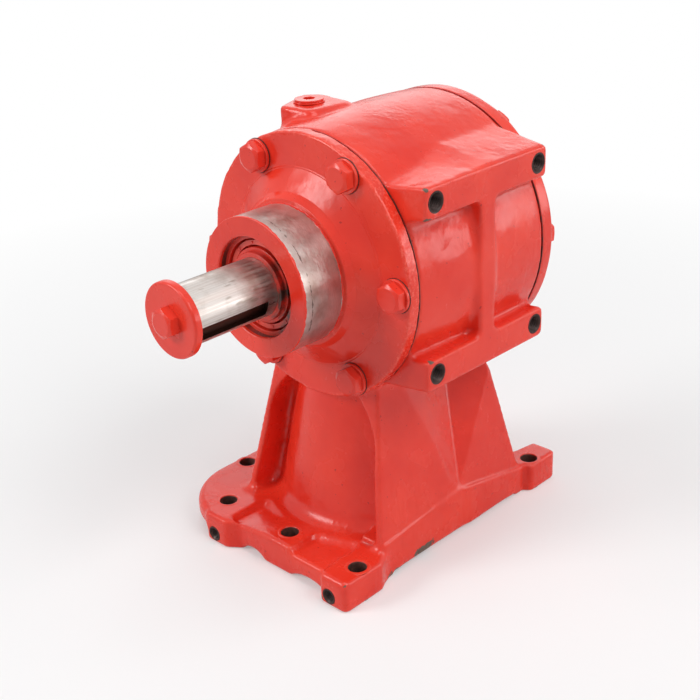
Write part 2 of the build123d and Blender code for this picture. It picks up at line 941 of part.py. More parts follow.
def hex_bolt(x, z, face, direction):
    """Hex bolt of a cover: its head stands out of the face along the direction."""
    seat = face + direction * washer_thickness
    top = seat + direction * bolt_head_height
    tip = seat - direction * bolt_shank_length
    corner = bolt_head_across / sqrt(3)
    head = hexagon_bar(bolt_head_across, (x, seat, z), (x, top, z))
    slope = corner * tan(radians(30)) * bolt_head_chamfer_share
    crown_plane = Plane(origin=(x, seat, z), z_dir=(0, direction, 0))
    cone = Solid.make_cone(corner + bolt_head_height * 2 - slope, corner - slope, bolt_head_height, crown_plane)
    head = head & cone
    shank = rod(bolt_radius, (x, tip, z), (x, seat, z))
    return solid_of(head + shank)


def cover_bolts(face, direction):
    return group(
        hex_bolt(x, shaft_height + z, face, direction)
        for x, z in circle_places(bolt_circle_radius, bolt_count)
    )


def cover_washers(face, direction):
    washers = []
    for x, z in circle_places(bolt_circle_radius, bolt_count):
        start = (x, face, shaft_height + z)
        end = (x, face + direction * washer_thickness, shaft_height + z)
        washers.append(solid_of(rod(washer_radius, start, end) - rod(bolt_hole_radius, start, end)))
    return group(washers)


def bottom_screws():
    screws = []
    low = bottom_cover_recess
    for x, y in circle_places(bottom_screw_circle, bottom_screw_count, bottom_screw_turn):
        head_top = low + bottom_screw_head_height
        head = rod(bottom_screw_head_radius, (x, y, low), (x, y, head_top))
        socket = hexagon_bar(bottom_screw_socket, (x, y, low - 1), (x, y, low + bottom_screw_head_height / 2))
        shank = rod(bottom_screw_radius, (x, y, head_top), (x, y, low + bottom_screw_length))
        screws.append(solid_of(head - socket + shank))
    return group(screws)


def plug(place, direction):
    """Threaded plug with a hexagon socket, seated on its washer."""
    seat = Vector(*place) + Vector(*direction) * plug_washer_thickness
    top = seat + Vector(*direction) * plug_head_height
    tip = seat - Vector(*direction) * plug_thread_length
    socket_floor = seat - Vector(*direction) * plug_head_height
    body = rod(plug_head_radius, seat, top) + rod(plug_thread_radius, tip, seat)
    return solid_of(body - hexagon_bar(plug_socket_across, socket_floor, top + Vector(*direction)))


def plug_washer(place, direction):
    end = Vector(*place) + Vector(*direction) * plug_washer_thickness
    return solid_of(rod(plug_washer_radius, place, end) - rod(plug_thread_radius + thread_gap, place, end))


# Bearings

def bearing_place(name):
    """Middle and axis direction of each bearing."""
    half = bearing_width / 2
    return {
        "nose": Plane(origin=(0, nose_bearing_front + half, shaft_height), z_dir=(0, 1, 0)),
        "rear": Plane(origin=(0, rear_bearing_front + half, shaft_height), z_dir=(0, 1, 0)),
        "upper": Plane(origin=(0, 0, upper_bearing_bottom + half), z_dir=(0, 0, 1)),
        "lower": Plane(origin=(0, 0, lower_bearing_bottom + half), z_dir=(0, 0, 1)),
    }[name]


def race_groove():
    """Ring that the balls run in, a little larger than the balls."""
    circle = Plane.XZ * (Pos(ball_circle_radius, 0) * Circle(ball_radius + running_gap))
    return revolve(circle, Axis.Z)


def bearing_race(inner, outer):
    half = bearing_width / 2
    section = Plane.XZ * (Pos((inner + outer) / 2, 0) * Rectangle(outer - inner, 2 * half))
    return solid_of(revolve(section, Axis.Z) - race_groove())


def bearing_balls():
    return [Pos(x, y, 0) * Sphere(ball_radius) for x, y in circle_places(ball_circle_radius, ball_count)]


def bearing_cage():
    inner = ball_circle_radius - cage_thickness / 2
    outer = ball_circle_radius + cage_thickness / 2
    section = Plane.XZ * (Pos(ball_circle_radius, 0) * Rectangle(outer - inner, cage_width))
    ring = revolve(section, Axis.Z)
    pocket = ball_radius + cage_pocket_gap
    inside = circle_places(inner_land_radius, ball_count)
    outside = circle_places(outer_land_radius, ball_count)
    for start, end in zip(inside, outside):
        ring = ring - rod(pocket, (start[0], start[1], 0), (end[0], end[1], 0))
    half = cage_width / 2 + rivet_height
    between = 180.0 / ball_count
    for x, y in circle_places(ball_circle_radius, ball_count, between):
        ring = ring + rod(rivet_radius, (x, y, -half), (x, y, half))
    return solid_of(ring)


def bearing_parts(name):
    place = bearing_place(name)
    outer = place * bearing_race(outer_land_radius, bearing_outer_radius)
    inner = place * bearing_race(bearing_bore_radius, inner_land_radius)
    balls = group(place * ball for ball in bearing_balls())
    cage = place * bearing_cage()
    return {
        name + "_bearing_outer_ring": outer,
        name + "_bearing_inner_ring": inner,
        name + "_bearing_balls": balls,
        name + "_bearing_cage": cage,
    }


# Bevel gears

def involute(angle):
    return tan(angle) - angle


def tooth_outline(teeth, cone_angle, thickness_share):
    """Half outline of a tooth at its large end: offset along and above the pitch line."""
    pitch = tooth_module * teeth / 2 / cos(cone_angle)
    base = pitch * cos(radians(pressure_angle))
    half_angle = thickness_share * tooth_module * pi / 4 / pitch
    low = pitch - dedendum - tooth_root_overlap
    high = pitch + addendum
    start = max(base, pitch - dedendum * flank_start_share)
    points = []
    for index in range(flank_steps + 1):
        radius = start + (high - start) * index / flank_steps
        pressure = atan2(sqrt(radius ** 2 - base ** 2), base)
        turn = half_angle + involute(radians(pressure_angle)) - involute(pressure)
        points.append((radius * sin(turn), radius * cos(turn) - pitch))
    root_turn = half_angle + involute(radians(pressure_angle))
    points.insert(0, (low * sin(root_turn), low * cos(root_turn) - pitch))
    return points


def tooth_solid(teeth, cone_angle, thickness_share):
    """Straight bevel tooth about +Z with its cone's point at the origin."""
    right = tooth_outline(teeth, cone_angle, thickness_share)
    left = [(-x, y) for x, y in reversed(right)]
    sections = []
    for share in (1.0, small_end_share):
        distance = cone_distance * share
        origin = Vector(sin(cone_angle), 0, cos(cone_angle)) * distance
        plane = Plane(
            origin=origin,
            x_dir=(0, 1, 0),
            z_dir=Vector(sin(cone_angle), 0, cos(cone_angle)),
        )
        corners = [(x * share, y * share * outline_side(plane, cone_angle)) for x, y in right + left]
        sections.append(plane * make_face(Polyline(*corners, close=True)))
    return loft(sections, ruled=True)


def outline_side(plane, cone_angle):
    """Whether the plane's own up runs outwards from the pitch cone."""
    outwards = Vector(cos(cone_angle), 0, -sin(cone_angle))
    return 1 if plane.y_dir.dot(outwards) > 0 else -1


def toothed_gear(blank, teeth, cone_angle, thickness_share, phase):
    tooth = tooth_solid(teeth, cone_angle, thickness_share)
    step = 360.0 / teeth
    ring = [Rot(0, 0, phase + step * index) * tooth for index in range(teeth)]
    return blank.fuse(*ring)


def thickness_share():
    """Share of the nominal thickness that leaves the wanted backlash."""
    return 1 - tooth_backlash / (tooth_module * pi / 2)


def crown_gear():
    root_radius = pitch_crown - dedendum * cos(crown_angle)
    root_place = pitch_pinion + dedendum * sin(crown_angle)
    back_run = crown_rim_back - root_place
    rim_radius = root_radius - back_run / tan(crown_angle)
    points = [
        (gear_seat_radius, crown_hub_front),
        (crown_hub_radius, crown_hub_front),
        (crown_hub_radius, root_place * small_end_share),
        (root_radius * small_end_share, root_place * small_end_share),
        (root_radius, root_place),
        (rim_radius, crown_rim_back),
        (rim_radius - crown_rim_width, crown_rim_back),
        (rim_radius - crown_rim_width - crown_rim_draft, crown_web_back),
        (crown_hub_radius, crown_web_back),
        (crown_hub_radius, crown_hub_back),
        (gear_seat_radius, crown_hub_back),
    ]
    section = Plane.XZ * make_face(Polyline(*points, close=True))
    blank = revolve(section, Axis.Z)
    gear = toothed_gear(blank, crown_teeth, crown_angle, thickness_share(), 0)
    placed = Plane(origin=(0, 0, shaft_height), x_dir=(0, 0, -1), z_dir=(0, 1, 0)) * gear
    return solid_of(placed - crown_key_space())


def pinion_gear():
    root_radius = pitch_pinion - dedendum * cos(pinion_angle)
    root_place = pitch_crown + dedendum * sin(pinion_angle)
    back_place = root_place + pinion_rim_back
    back_radius = root_radius - pinion_rim_back * tan(pinion_angle)
    points = [
        (pinion_seat_radius, root_place * small_end_share),
        (root_radius * small_end_share, root_place * small_end_share),
        (root_radius, root_place),
        (back_radius, back_place),
        (pinion_hub_radius, back_place),
        (pinion_hub_radius, pinion_mounting),
        (pinion_seat_radius, pinion_mounting),
    ]
    section = Plane.XZ * make_face(Polyline(*points, close=True))
    blank = revolve(section, Axis.Z)
    half_step = 180.0 / pinion_teeth
    gear = toothed_gear(blank, pinion_teeth, pinion_angle, thickness_share(), half_step)
    placed = Plane(origin=(0, 0, shaft_height), x_dir=(0, 1, 0), z_dir=(0, 0, -1)) * gear
    return solid_of(placed - pinion_key_space())


# Keys

def key_bar(width, bottom, top, start, end):
    """Key along Y on top of the input shaft, square ended."""
    return block((-width / 2, start, shaft_height + bottom), (width / 2, end, shaft_height + top))


def crown_key_bounds():
    middle = gear_seat_radius
    return (middle - crown_key_height / 2, middle + crown_key_height / 2 - key_hub_relief)


def crown_key_span():
    return (crown_hub_front + gear_key_margin, crown_hub_back - gear_key_margin)


def crown_key():
    low, high = crown_key_bounds()
    start, end = crown_key_span()
    return key_bar(crown_key_width, low, high, start, end)


def crown_key_space():
    """Keyway of the crown gear's hub, right through."""
    high = crown_key_bounds()[1]
    return key_bar(crown_key_width + paint_gap, 0, high + paint_gap, crown_hub_front - 1, crown_hub_back + 1)


def pinion_key_bounds():
    return (pinion_seat_radius - gear_key_height / 2, pinion_seat_radius + gear_key_height / 2 - key_hub_relief)


def pinion_key():
    low, high = pinion_key_bounds()
    half = gear_key_width / 2
    bottom = upper_bearing_top + gear_key_margin
    top = pinion_top - gear_key_margin
    return block((low, -half, bottom), (high, half, top))


def pinion_key_space():
    high = pinion_key_bounds()[1] + paint_gap
    half = (gear_key_width + paint_gap) / 2
    return block((0, -half, upper_bearing_top - 1), (high, half, pinion_top + 1))


# Shafts

def input_shaft():
    chamfer_start = disc_back + shaft_chamfer
    ring_start = rear_bearing_back
    ring_end = ring_start + shaft_ring_thickness
    groove = bearing_bore_radius - shaft_ring_depth
    body = about_input(
        [
            (0, disc_back),
            (extension_radius - shaft_chamfer, disc_back),
            (extension_radius, chamfer_start),
            (extension_radius, nose_bearing_front),
            (bearing_bore_radius, nose_bearing_front),
            (bearing_bore_radius, nose_bearing_back),
            (main_radius, nose_bearing_back),
            (main_radius, crown_hub_front),
            (gear_seat_radius, crown_hub_front),
            (gear_seat_radius, crown_hub_back),
            (bearing_bore_radius, crown_hub_back),
            (bearing_bore_radius, ring_start),
            (groove, ring_start),
            (groove, ring_end),
            (bearing_bore_radius, ring_end),
            (bearing_bore_radius, input_end),
            (0, input_end),
        ]
    )
    keyway_start = disc_back + keyway_end_margin
    floor = extension_radius - keyway_depth
    slot = block(
        (-keyway_width / 2, keyway_start, floor),
        (keyway_width / 2, keyway_start + keyway_length, extension_radius + 1),
    )
    coupling_keyway = Pos(0, 0, shaft_height) * (Rot(0, keyway_turn, 0) * slot)
    tapped = rod(
        bolt_radius + thread_gap,
        (0, disc_back - 1, shaft_height),
        (0, disc_back + end_disc_bolt_depth, shaft_height),
    )
    low = crown_key_bounds()[0]
    start, end = crown_key_span()
    seat = key_bar(crown_key_width, low, gear_seat_radius + 1, start, end)
    return solid_of(body - coupling_keyway - tapped - seat)


def end_disc():
    body = about_input(
        [
            (bolt_hole_radius, disc_front),
            (end_disc_radius - end_disc_chamfer, disc_front),
            (end_disc_radius, disc_front + end_disc_chamfer),
            (end_disc_radius, disc_back),
            (bolt_hole_radius, disc_back),
        ]
    )
    return solid_of(body)


def end_bolt():
    corner = bolt_head_across / sqrt(3)
    top = disc_front - bolt_head_height
    head = hexagon_bar(bolt_head_across, (0, disc_front, shaft_height), (0, top, shaft_height))
    slope = corner * tan(radians(30)) * bolt_head_chamfer_share
    plane = Plane(origin=(0, disc_front, shaft_height), z_dir=(0, -1, 0))
    cone = Solid.make_cone(corner + bolt_head_height * 2 - slope, corner - slope, bolt_head_height, plane)
    tip = disc_back + end_disc_bolt_depth - tap_depth_margin
    shank = rod(bolt_radius, (0, disc_front, shaft_height), (0, tip, shaft_height))
    return solid_of((head & cone) + shank)


def output_shaft():
    thread_bottom = pinion_top
    body = about_output(
        [
            (0, output_tail_bottom),
            (output_tail_radius, output_tail_bottom),
            (output_tail_radius, lower_bearing_bottom),
            (bearing_bore_radius, lower_bearing_bottom),
            (bearing_bore_radius, lower_bearing_top),
            (main_radius, lower_bearing_top),
            (main_radius, upper_bearing_bottom),
            (bearing_bore_radius, upper_bearing_bottom),
            (bearing_bore_radius, upper_bearing_top),
            (pinion_seat_radius, upper_bearing_top),
            (pinion_seat_radius, thread_bottom),
            (pinion_thread_radius, thread_bottom),
            (pinion_thread_radius, output_top),
            (0, output_top),
        ]
    )
    bore_top = output_tail_bottom + output_bore_depth
    bore = rod(output_bore_radius, (0, 0, output_tail_bottom - 1), (0, 0, bore_top))
    half = output_key_width / 2
    keyway = block((0, -half, output_tail_bottom - 1), (output_bore_radius + output_key_depth, half, bore_top))
    low = pinion_key_bounds()[0]
    key_half = gear_key_width / 2
    seat = block(
        (low, -key_half, upper_bearing_top + gear_key_margin),
        (pinion_seat_radius + 1, key_half, pinion_top - gear_key_margin),
    )
    return solid_of(body - bore - keyway - seat)


def lock_washer():
    return ring_on_output(pinion_thread_radius, lock_washer_radius, pinion_top, pinion_top + lock_washer_thickness)


def lock_nut():
    low = pinion_top + lock_washer_thickness
    body = ring_on_output(pinion_thread_radius + thread_gap, lock_nut_radius, low, lock_nut_top)
    half = lock_nut_slot_width / 2
    floor = lock_nut_radius - lock_nut_slot_depth
    for index in range(lock_nut_slots):
        slot = block((floor, -half, low - 1), (lock_nut_radius + 1, half, lock_nut_top + 1))
        body = body - Rot(0, 0, 360.0 / lock_nut_slots * index) * slot
    return solid_of(body)


def rear_spacer():
    return ring_on_input(bearing_bore_radius, inner_land_radius, crown_hub_back, rear_bearing_front)


def nose_collar():
    start = nose_bearing_front - collar_length
    return about_input(
        [
            (extension_radius, start),
            (collar_radius - shaft_chamfer / 2, start),
            (collar_radius, start + shaft_chamfer / 2),
            (collar_radius, nose_bearing_front),
            (extension_radius, nose_bearing_front),
        ]
    )


# Seals and retaining rings

def lip_seal_points(shaft, outer, start, end):
    """Section of a shaft seal: a channel whose inner lip runs close to the shaft."""
    wall = seal_wall
    lip = shaft + seal_lip_gap
    middle = (start + end) / 2
    return [
        (lip + wall, start),
        (outer, start),
        (outer, end),
        (outer - wall, end),
        (outer - wall, start + wall),
        (lip + wall, start + wall),
        (lip + wall, end - wall / 2),
        (lip + wall / 2, end - wall / 2),
        (lip, middle),
    ]


def input_seal():
    start = nose_bearing_back + seal_ring_gap
    return about_input(lip_seal_points(main_radius, bearing_outer_radius, start, start + seal_width))


def output_seal():
    end = output_seal_bottom + output_seal_width
    return about_output(lip_seal_points(output_tail_radius, output_seal_radius, output_seal_bottom, end))


def ring_mouth(reach, start, end):
    """Wedge that opens a retaining ring, below the shaft."""
    half = radians(ring_mouth_angle / 2)
    corners = [(0, 0), (reach * sin(half), -reach * cos(half)), (-reach * sin(half), -reach * cos(half))]
    face = Plane.XZ * make_face(Polyline(*corners, close=True))
    return extrude(Pos(0, start, shaft_height) * face, end - start, dir=(0, 1, 0))


def nose_retaining_ring():
    outer = bearing_outer_radius + inner_ring_depth
    start = nose_bearing_back
    end = start + inner_ring_thickness
    body = ring_on_input(outer - inner_ring_width, outer, start, end)
    return solid_of(body - ring_mouth(2 * outer, start, end))


def shaft_retaining_ring():
    inner = bearing_bore_radius - shaft_ring_depth
    start = rear_bearing_back
    end = start + shaft_ring_thickness
    body = ring_on_input(inner, inner + shaft_ring_width, start, end)
    return solid_of(body - ring_mouth(2 * inner + 2 * shaft_ring_width, start, end))


def all_parts():
    filler = (filler_x, filler_y, filler_boss_top)
    parts = {
        "housing": housing(),
        "front_cover": front_cover(),
        "rear_cover": rear_cover(),
        "bottom_cover": bottom_cover(),
        "front_gasket": joint_gasket(flange_radius, front_joint),
        "rear_gasket": joint_gasket(barrel_rear_radius, rear_parting),
        "bottom_gasket": bottom_gasket(),
        "front_cover_bolts": cover_bolts(flange_face, -1),
        "front_cover_washers": cover_washers(flange_face, -1),
        "rear_cover_bolts": cover_bolts(rear_cover_face, 1),
        "rear_cover_washers": cover_washers(rear_cover_face, 1),
        "bottom_cover_screws": bottom_screws(),
        "filler_plug": plug(filler, (0, 0, 1)),
        "filler_plug_washer": plug_washer(filler, (0, 0, 1)),
        "level_plug": plug(level_plug_place(), (-1, 0, 0)),
        "level_plug_washer": plug_washer(level_plug_place(), (-1, 0, 0)),
        "drain_plug": plug(drain_plug_place(), (0, 1, 0)),
        "drain_plug_washer": plug_washer(drain_plug_place(), (0, 1, 0)),
        "input_seal": input_seal(),
        "output_seal": output_seal(),
        "nose_retaining_ring": nose_retaining_ring(),
        "input_shaft": input_shaft(),
        "crown_gear": crown_gear(),
        "crown_gear_key": crown_key(),
        "rear_spacer": rear_spacer(),
        "shaft_retaining_ring": shaft_retaining_ring(),
        "nose_collar": nose_collar(),
        "end_disc": end_disc(),
        "end_bolt": end_bolt(),
        "output_shaft": output_shaft(),
        "bevel_pinion": pinion_gear(),
        "pinion_key": pinion_key(),
        "lock_washer": lock_washer(),
        "lock_nut": lock_nut(),
    }
    for name in ("nose", "rear", "upper", "lower"):
        parts.update(bearing_parts(name))
    return parts


def main():
    os.makedirs("parts", exist_ok=True)
    for name, shape in all_parts().items():
        export_step(shape, "parts/" + name + ".step")


main()
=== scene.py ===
"""Looks of a cast right-angle bevel gearbox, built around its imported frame.

Metres, +Z up, the input shaft points to -Y and the tapped side face to +X.
"""

import itertools
import json
import math

import bmesh
import bpy
import numpy as np
import openvdb as vdb
from mathutils import Matrix, Vector


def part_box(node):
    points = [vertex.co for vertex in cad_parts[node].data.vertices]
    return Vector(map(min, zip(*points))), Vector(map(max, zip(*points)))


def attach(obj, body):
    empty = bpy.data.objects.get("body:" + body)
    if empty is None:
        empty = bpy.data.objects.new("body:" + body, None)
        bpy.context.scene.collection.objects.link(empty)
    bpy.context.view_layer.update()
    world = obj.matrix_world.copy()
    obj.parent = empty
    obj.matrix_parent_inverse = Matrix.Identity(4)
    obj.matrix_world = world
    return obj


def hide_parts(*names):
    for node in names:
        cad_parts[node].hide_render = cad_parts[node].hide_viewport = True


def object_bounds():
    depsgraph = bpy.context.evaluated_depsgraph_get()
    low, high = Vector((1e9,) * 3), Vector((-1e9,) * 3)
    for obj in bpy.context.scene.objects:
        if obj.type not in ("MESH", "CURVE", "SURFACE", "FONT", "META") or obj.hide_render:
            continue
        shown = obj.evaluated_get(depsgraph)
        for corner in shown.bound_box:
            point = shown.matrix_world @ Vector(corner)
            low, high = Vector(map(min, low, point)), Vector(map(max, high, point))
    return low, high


MM = 0.001
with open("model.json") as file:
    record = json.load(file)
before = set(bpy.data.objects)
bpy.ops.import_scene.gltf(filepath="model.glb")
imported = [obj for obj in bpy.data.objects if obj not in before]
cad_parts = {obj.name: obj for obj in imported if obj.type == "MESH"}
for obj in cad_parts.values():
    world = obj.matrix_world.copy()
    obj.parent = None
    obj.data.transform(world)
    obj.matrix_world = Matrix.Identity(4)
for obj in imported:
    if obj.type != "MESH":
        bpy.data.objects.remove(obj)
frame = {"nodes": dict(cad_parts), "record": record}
nodes = frame["nodes"]
cad_low, cad_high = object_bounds()
mounts = {mount["name"]: mount for mount in frame["record"]["mounts"]}

# Sizes read from the frame
cover_low, cover_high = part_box("front_cover")
rear_low, rear_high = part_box("rear_cover")
gasket_low, gasket_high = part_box("front_gasket")
rear_gasket_low, rear_gasket_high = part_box("rear_gasket")
washer_low, washer_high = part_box("front_cover_washers")
axis_height = mounts["trunnion"]["pos_m"][2]
shaft_radius = mounts["input_shaft"]["dims"]["r_mm"] * MM
nose_face = cover_low.y
flange_radius = (cover_high.x - cover_low.x) / 2
front_joint = gasket_low.y
front_parting = gasket_high.y
rear_parting = rear_gasket_low.y
rear_joint = rear_gasket_high.y
pad_face = mounts["side_face"]["pos_m"][0]
flange_face = washer_high.y
nose_radius = mounts["trunnion"]["dims"]["r_mm"] * MM

# Housing
foot_top = 25 * MM
barrel_bore = 92 * MM
joint_margin = 0.6 * MM
skin_margin = 3 * MM
pad_skin_margins = (2.6 * MM, 0.8 * MM)
output_bore = 41 * MM
bottom_cover_bore = 59 * MM
bottom_cover_depth = 17 * MM
tap_depth = 20 * MM

# Front cover, as distances from the axis and lengths along it
boss_root_radius = 72 * MM
boss_top_radius = 57 * MM
boss_face = flange_face - 9 * MM
step_radius = 53.2 * MM
step_face = boss_face - 5 * MM
mouth_radius = 36 * MM
mouth_back = nose_face + 6.5 * MM
socket_radius = 37.5 * MM
spigot_length = 8 * MM
spigot_outer = 76 * MM
spigot_inner = 68 * MM
spigot_draft = 4 * MM
socket_back_margin = 2 * MM
ridge_half_width = 0.4 * MM
ridge_height = 0.45 * MM
ridge_inner_height = 0.35 * MM
front_edge_radii = [v * MM for v in (0.3, 0.9, 2.0, 0.4, 0.3, 0.3, 1.2, 1.2, 0.5, 0.7, 1.4)]

# Rear cover
rear_radius = (rear_high.x - rear_low.x) / 2
rear_cover_face = rear_joint + 12 * MM
rear_dome_radius = 52 * MM
rear_socket_outer = 47.5 * MM
rear_socket_front = 58 * MM
rear_socket_back = 74 * MM
rear_lip_radius = 33 * MM
rear_hollow_end = 80 * MM
rear_edge_radii = [v * MM for v in (5, 5, 2.6, 1.0, 0.3)]

# Bolts
bolt_circle = 85.5 * MM
washer_radius = 12 * MM
bolt_count = 6

# Light of the studio
fill_light = 0.19
fill_tint = (0.96, 0.97, 1.0, 1)
light_target = (0, 0, 0.15)


# Random fields

def cast_noise(points, size, seed):
    """Smooth random field from -1 to 1, whose features have one size."""
    cells = 32
    lattice = np.random.default_rng(seed).uniform(-1, 1, (cells, cells, cells))
    place = np.asarray(points, dtype=float) / size
    base = np.floor(place).astype(int)
    part = place - base
    part = part * part * (3 - 2 * part)
    total = np.zeros(len(place))
    for corner in itertools.product((0, 1), repeat=3):
        index = (base + corner) % cells
        weight = np.prod(np.where(corner, part, 1 - part), axis=1)
        total += weight * lattice[index[:, 0], index[:, 1], index[:, 2]]
    return total


def cast_relief(points, seed):
    """Height of a sand-cast, thickly painted surface."""
    swell = cast_noise(points, 26 * MM, seed) * 0.4 * MM
    lumps = cast_noise(points, 11 * MM, seed + 1) * 0.25 * MM
    grain = cast_noise(points, 4.2 * MM, seed + 2) * 0.12 * MM
    patches = np.clip(cast_noise(points, 40 * MM, seed + 3) * 2 + 0.6, 0.25, 1)
    return swell + (lumps + grain) * patches


def between(value, start, end):
    """Share of the way from start to end, from 0 to 1."""
    return np.clip((value - start) / (end - start), 0, 1)


# Mesh helpers

def shade(mesh, sharp_degrees):
    mesh.polygons.foreach_set("use_smooth", [True] * len(mesh.polygons))
    mesh.set_sharp_from_angle(angle=math.radians(sharp_degrees))


def link_mesh(name, mesh):
    piece = bpy.data.objects.new(name, mesh)
    bpy.context.scene.collection.objects.link(piece)
    return piece


def add_piece(name, verts, faces, sharp_degrees=32.0):
    """Mesh object in the shared frame, smooth but for its sharp edges."""
    mesh = bpy.data.meshes.new(name)
    mesh.from_pydata([tuple(v) for v in verts], [], faces)
    mesh.update()
    piece = link_mesh(name, mesh)
    outward(piece)
    shade(mesh, sharp_degrees)
    return piece


def outward(piece):
    """Doubled points merged, and the faces of a closed mesh turned outward."""
    work = bmesh.new()
    work.from_mesh(piece.data)
    bmesh.ops.remove_doubles(work, verts=work.verts, dist=1e-6)
    bmesh.ops.recalc_face_normals(work, faces=work.faces)
    work.to_mesh(piece.data)
    work.free()


def arc(centre, radius, start, end, count):
    """Points of an arc in a profile, by angles in degrees."""
    step = (end - start) / count
    angles = [math.radians(start + step * i) for i in range(count + 1)]
    return [(centre[0] + radius * math.cos(a), centre[1] + radius * math.sin(a)) for a in angles]


def rounded(points, radii, count=4):
    """Profile with its corners rounded, each by its own radius; the ends stay."""
    result = [points[0]]
    for before, corner, after, radius in zip(points, points[1:], points[2:], radii):
        here = Vector(corner)
        back = (Vector(before) - here).normalized()
        ahead = (Vector(after) - here).normalized()
        half = back.angle(ahead) / 2
        reach = radius / math.tan(half)
        for i in range(count + 1):
            share = i / count
            start = here + back * reach
            end = here + ahead * reach
            point = start.lerp(here, share).lerp(here.lerp(end, share), share)
            result.append(tuple(point))
    result.append(points[-1])
    return result


def refine(profile, longest):
    """The same profile with its long runs split."""
    points = [profile[0]]
    for here, there in zip(profile, profile[1:]):
        count = max(1, math.ceil(math.dist(here, there) / longest))
        for i in range(1, count + 1):
            share = i / count
            points.append(tuple(a + (b - a) * share for a, b in zip(here, there)))
    return points


def ring_faces(steps, count, offset):
    """Quads of a closed ring of closed profiles, its points numbered profile by profile."""
    faces = []
    for i in range(steps):
        j = (i + 1) % steps
        for k in range(count):
            m = (k + 1) % count
            face = (i * count + k, j * count + k, j * count + m, i * count + m)
            faces.append(tuple(offset + corner for corner in face))
    return faces


def turned(profile, place, direction, steps, offset=0):
    """Points and faces of a ring turned from a closed profile of radius and distance along the axis."""
    turn = Vector((0, 0, 1)).rotation_difference(Vector(direction)).to_matrix()
    angles = np.arange(steps) * 2 * math.pi / steps
    radius, along = np.array(profile).T
    local = np.stack(
        [
            np.outer(np.cos(angles), radius),
            np.outer(np.sin(angles), radius),
            np.tile(along, (steps, 1)),
        ],
        axis=-1,
    ).reshape(-1, 3)
    points = local @ np.array(turn).T + np.array(place)
    return points, ring_faces(steps, len(profile), offset)


def turned_group(name, profile, places, direction, steps):
    """One piece of equal rings at several places."""
    points, faces = [], []
    for place in places:
        more_points, more_faces = turned(profile, place, direction, steps, len(points))
        points.extend(more_points)
        faces.extend(more_faces)
    return add_piece(name, points, faces)


def about_input(name, profile, steps):
    """Turned casting about the input axis, from radius and place along Y."""
    flipped = [(radius, -along) for radius, along in profile]
    points, faces = turned(flipped, (0, 0, axis_height), (0, -1, 0), steps)
    return add_piece(name, points, faces)


def push_out(piece, relief):
    """Moves each point along its normal by the relief there, never past the CAD's box."""
    mesh = piece.data
    count = len(mesh.vertices)
    places = np.empty(3 * count)
    normals = np.empty(3 * count)
    mesh.vertices.foreach_get("co", places)
    mesh.vertex_normals.foreach_get("vector", normals)
    places = places.reshape(-1, 3)
    places = places + normals.reshape(-1, 3) * relief(places)[:, None]
    places = np.clip(places, np.array(cad_low), np.array(cad_high))
    mesh.vertices.foreach_set("co", places.ravel())
    mesh.update()


def reach_from_input(places):
    return np.hypot(places[:, 0], places[:, 2] - axis_height)


def finish_piece(piece, body, material, replaced=()):
    piece.data.materials.clear()
    piece.data.materials.append(material)
    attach(piece, body)
    if replaced:
        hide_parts(*replaced)
    return piece


# Material helpers

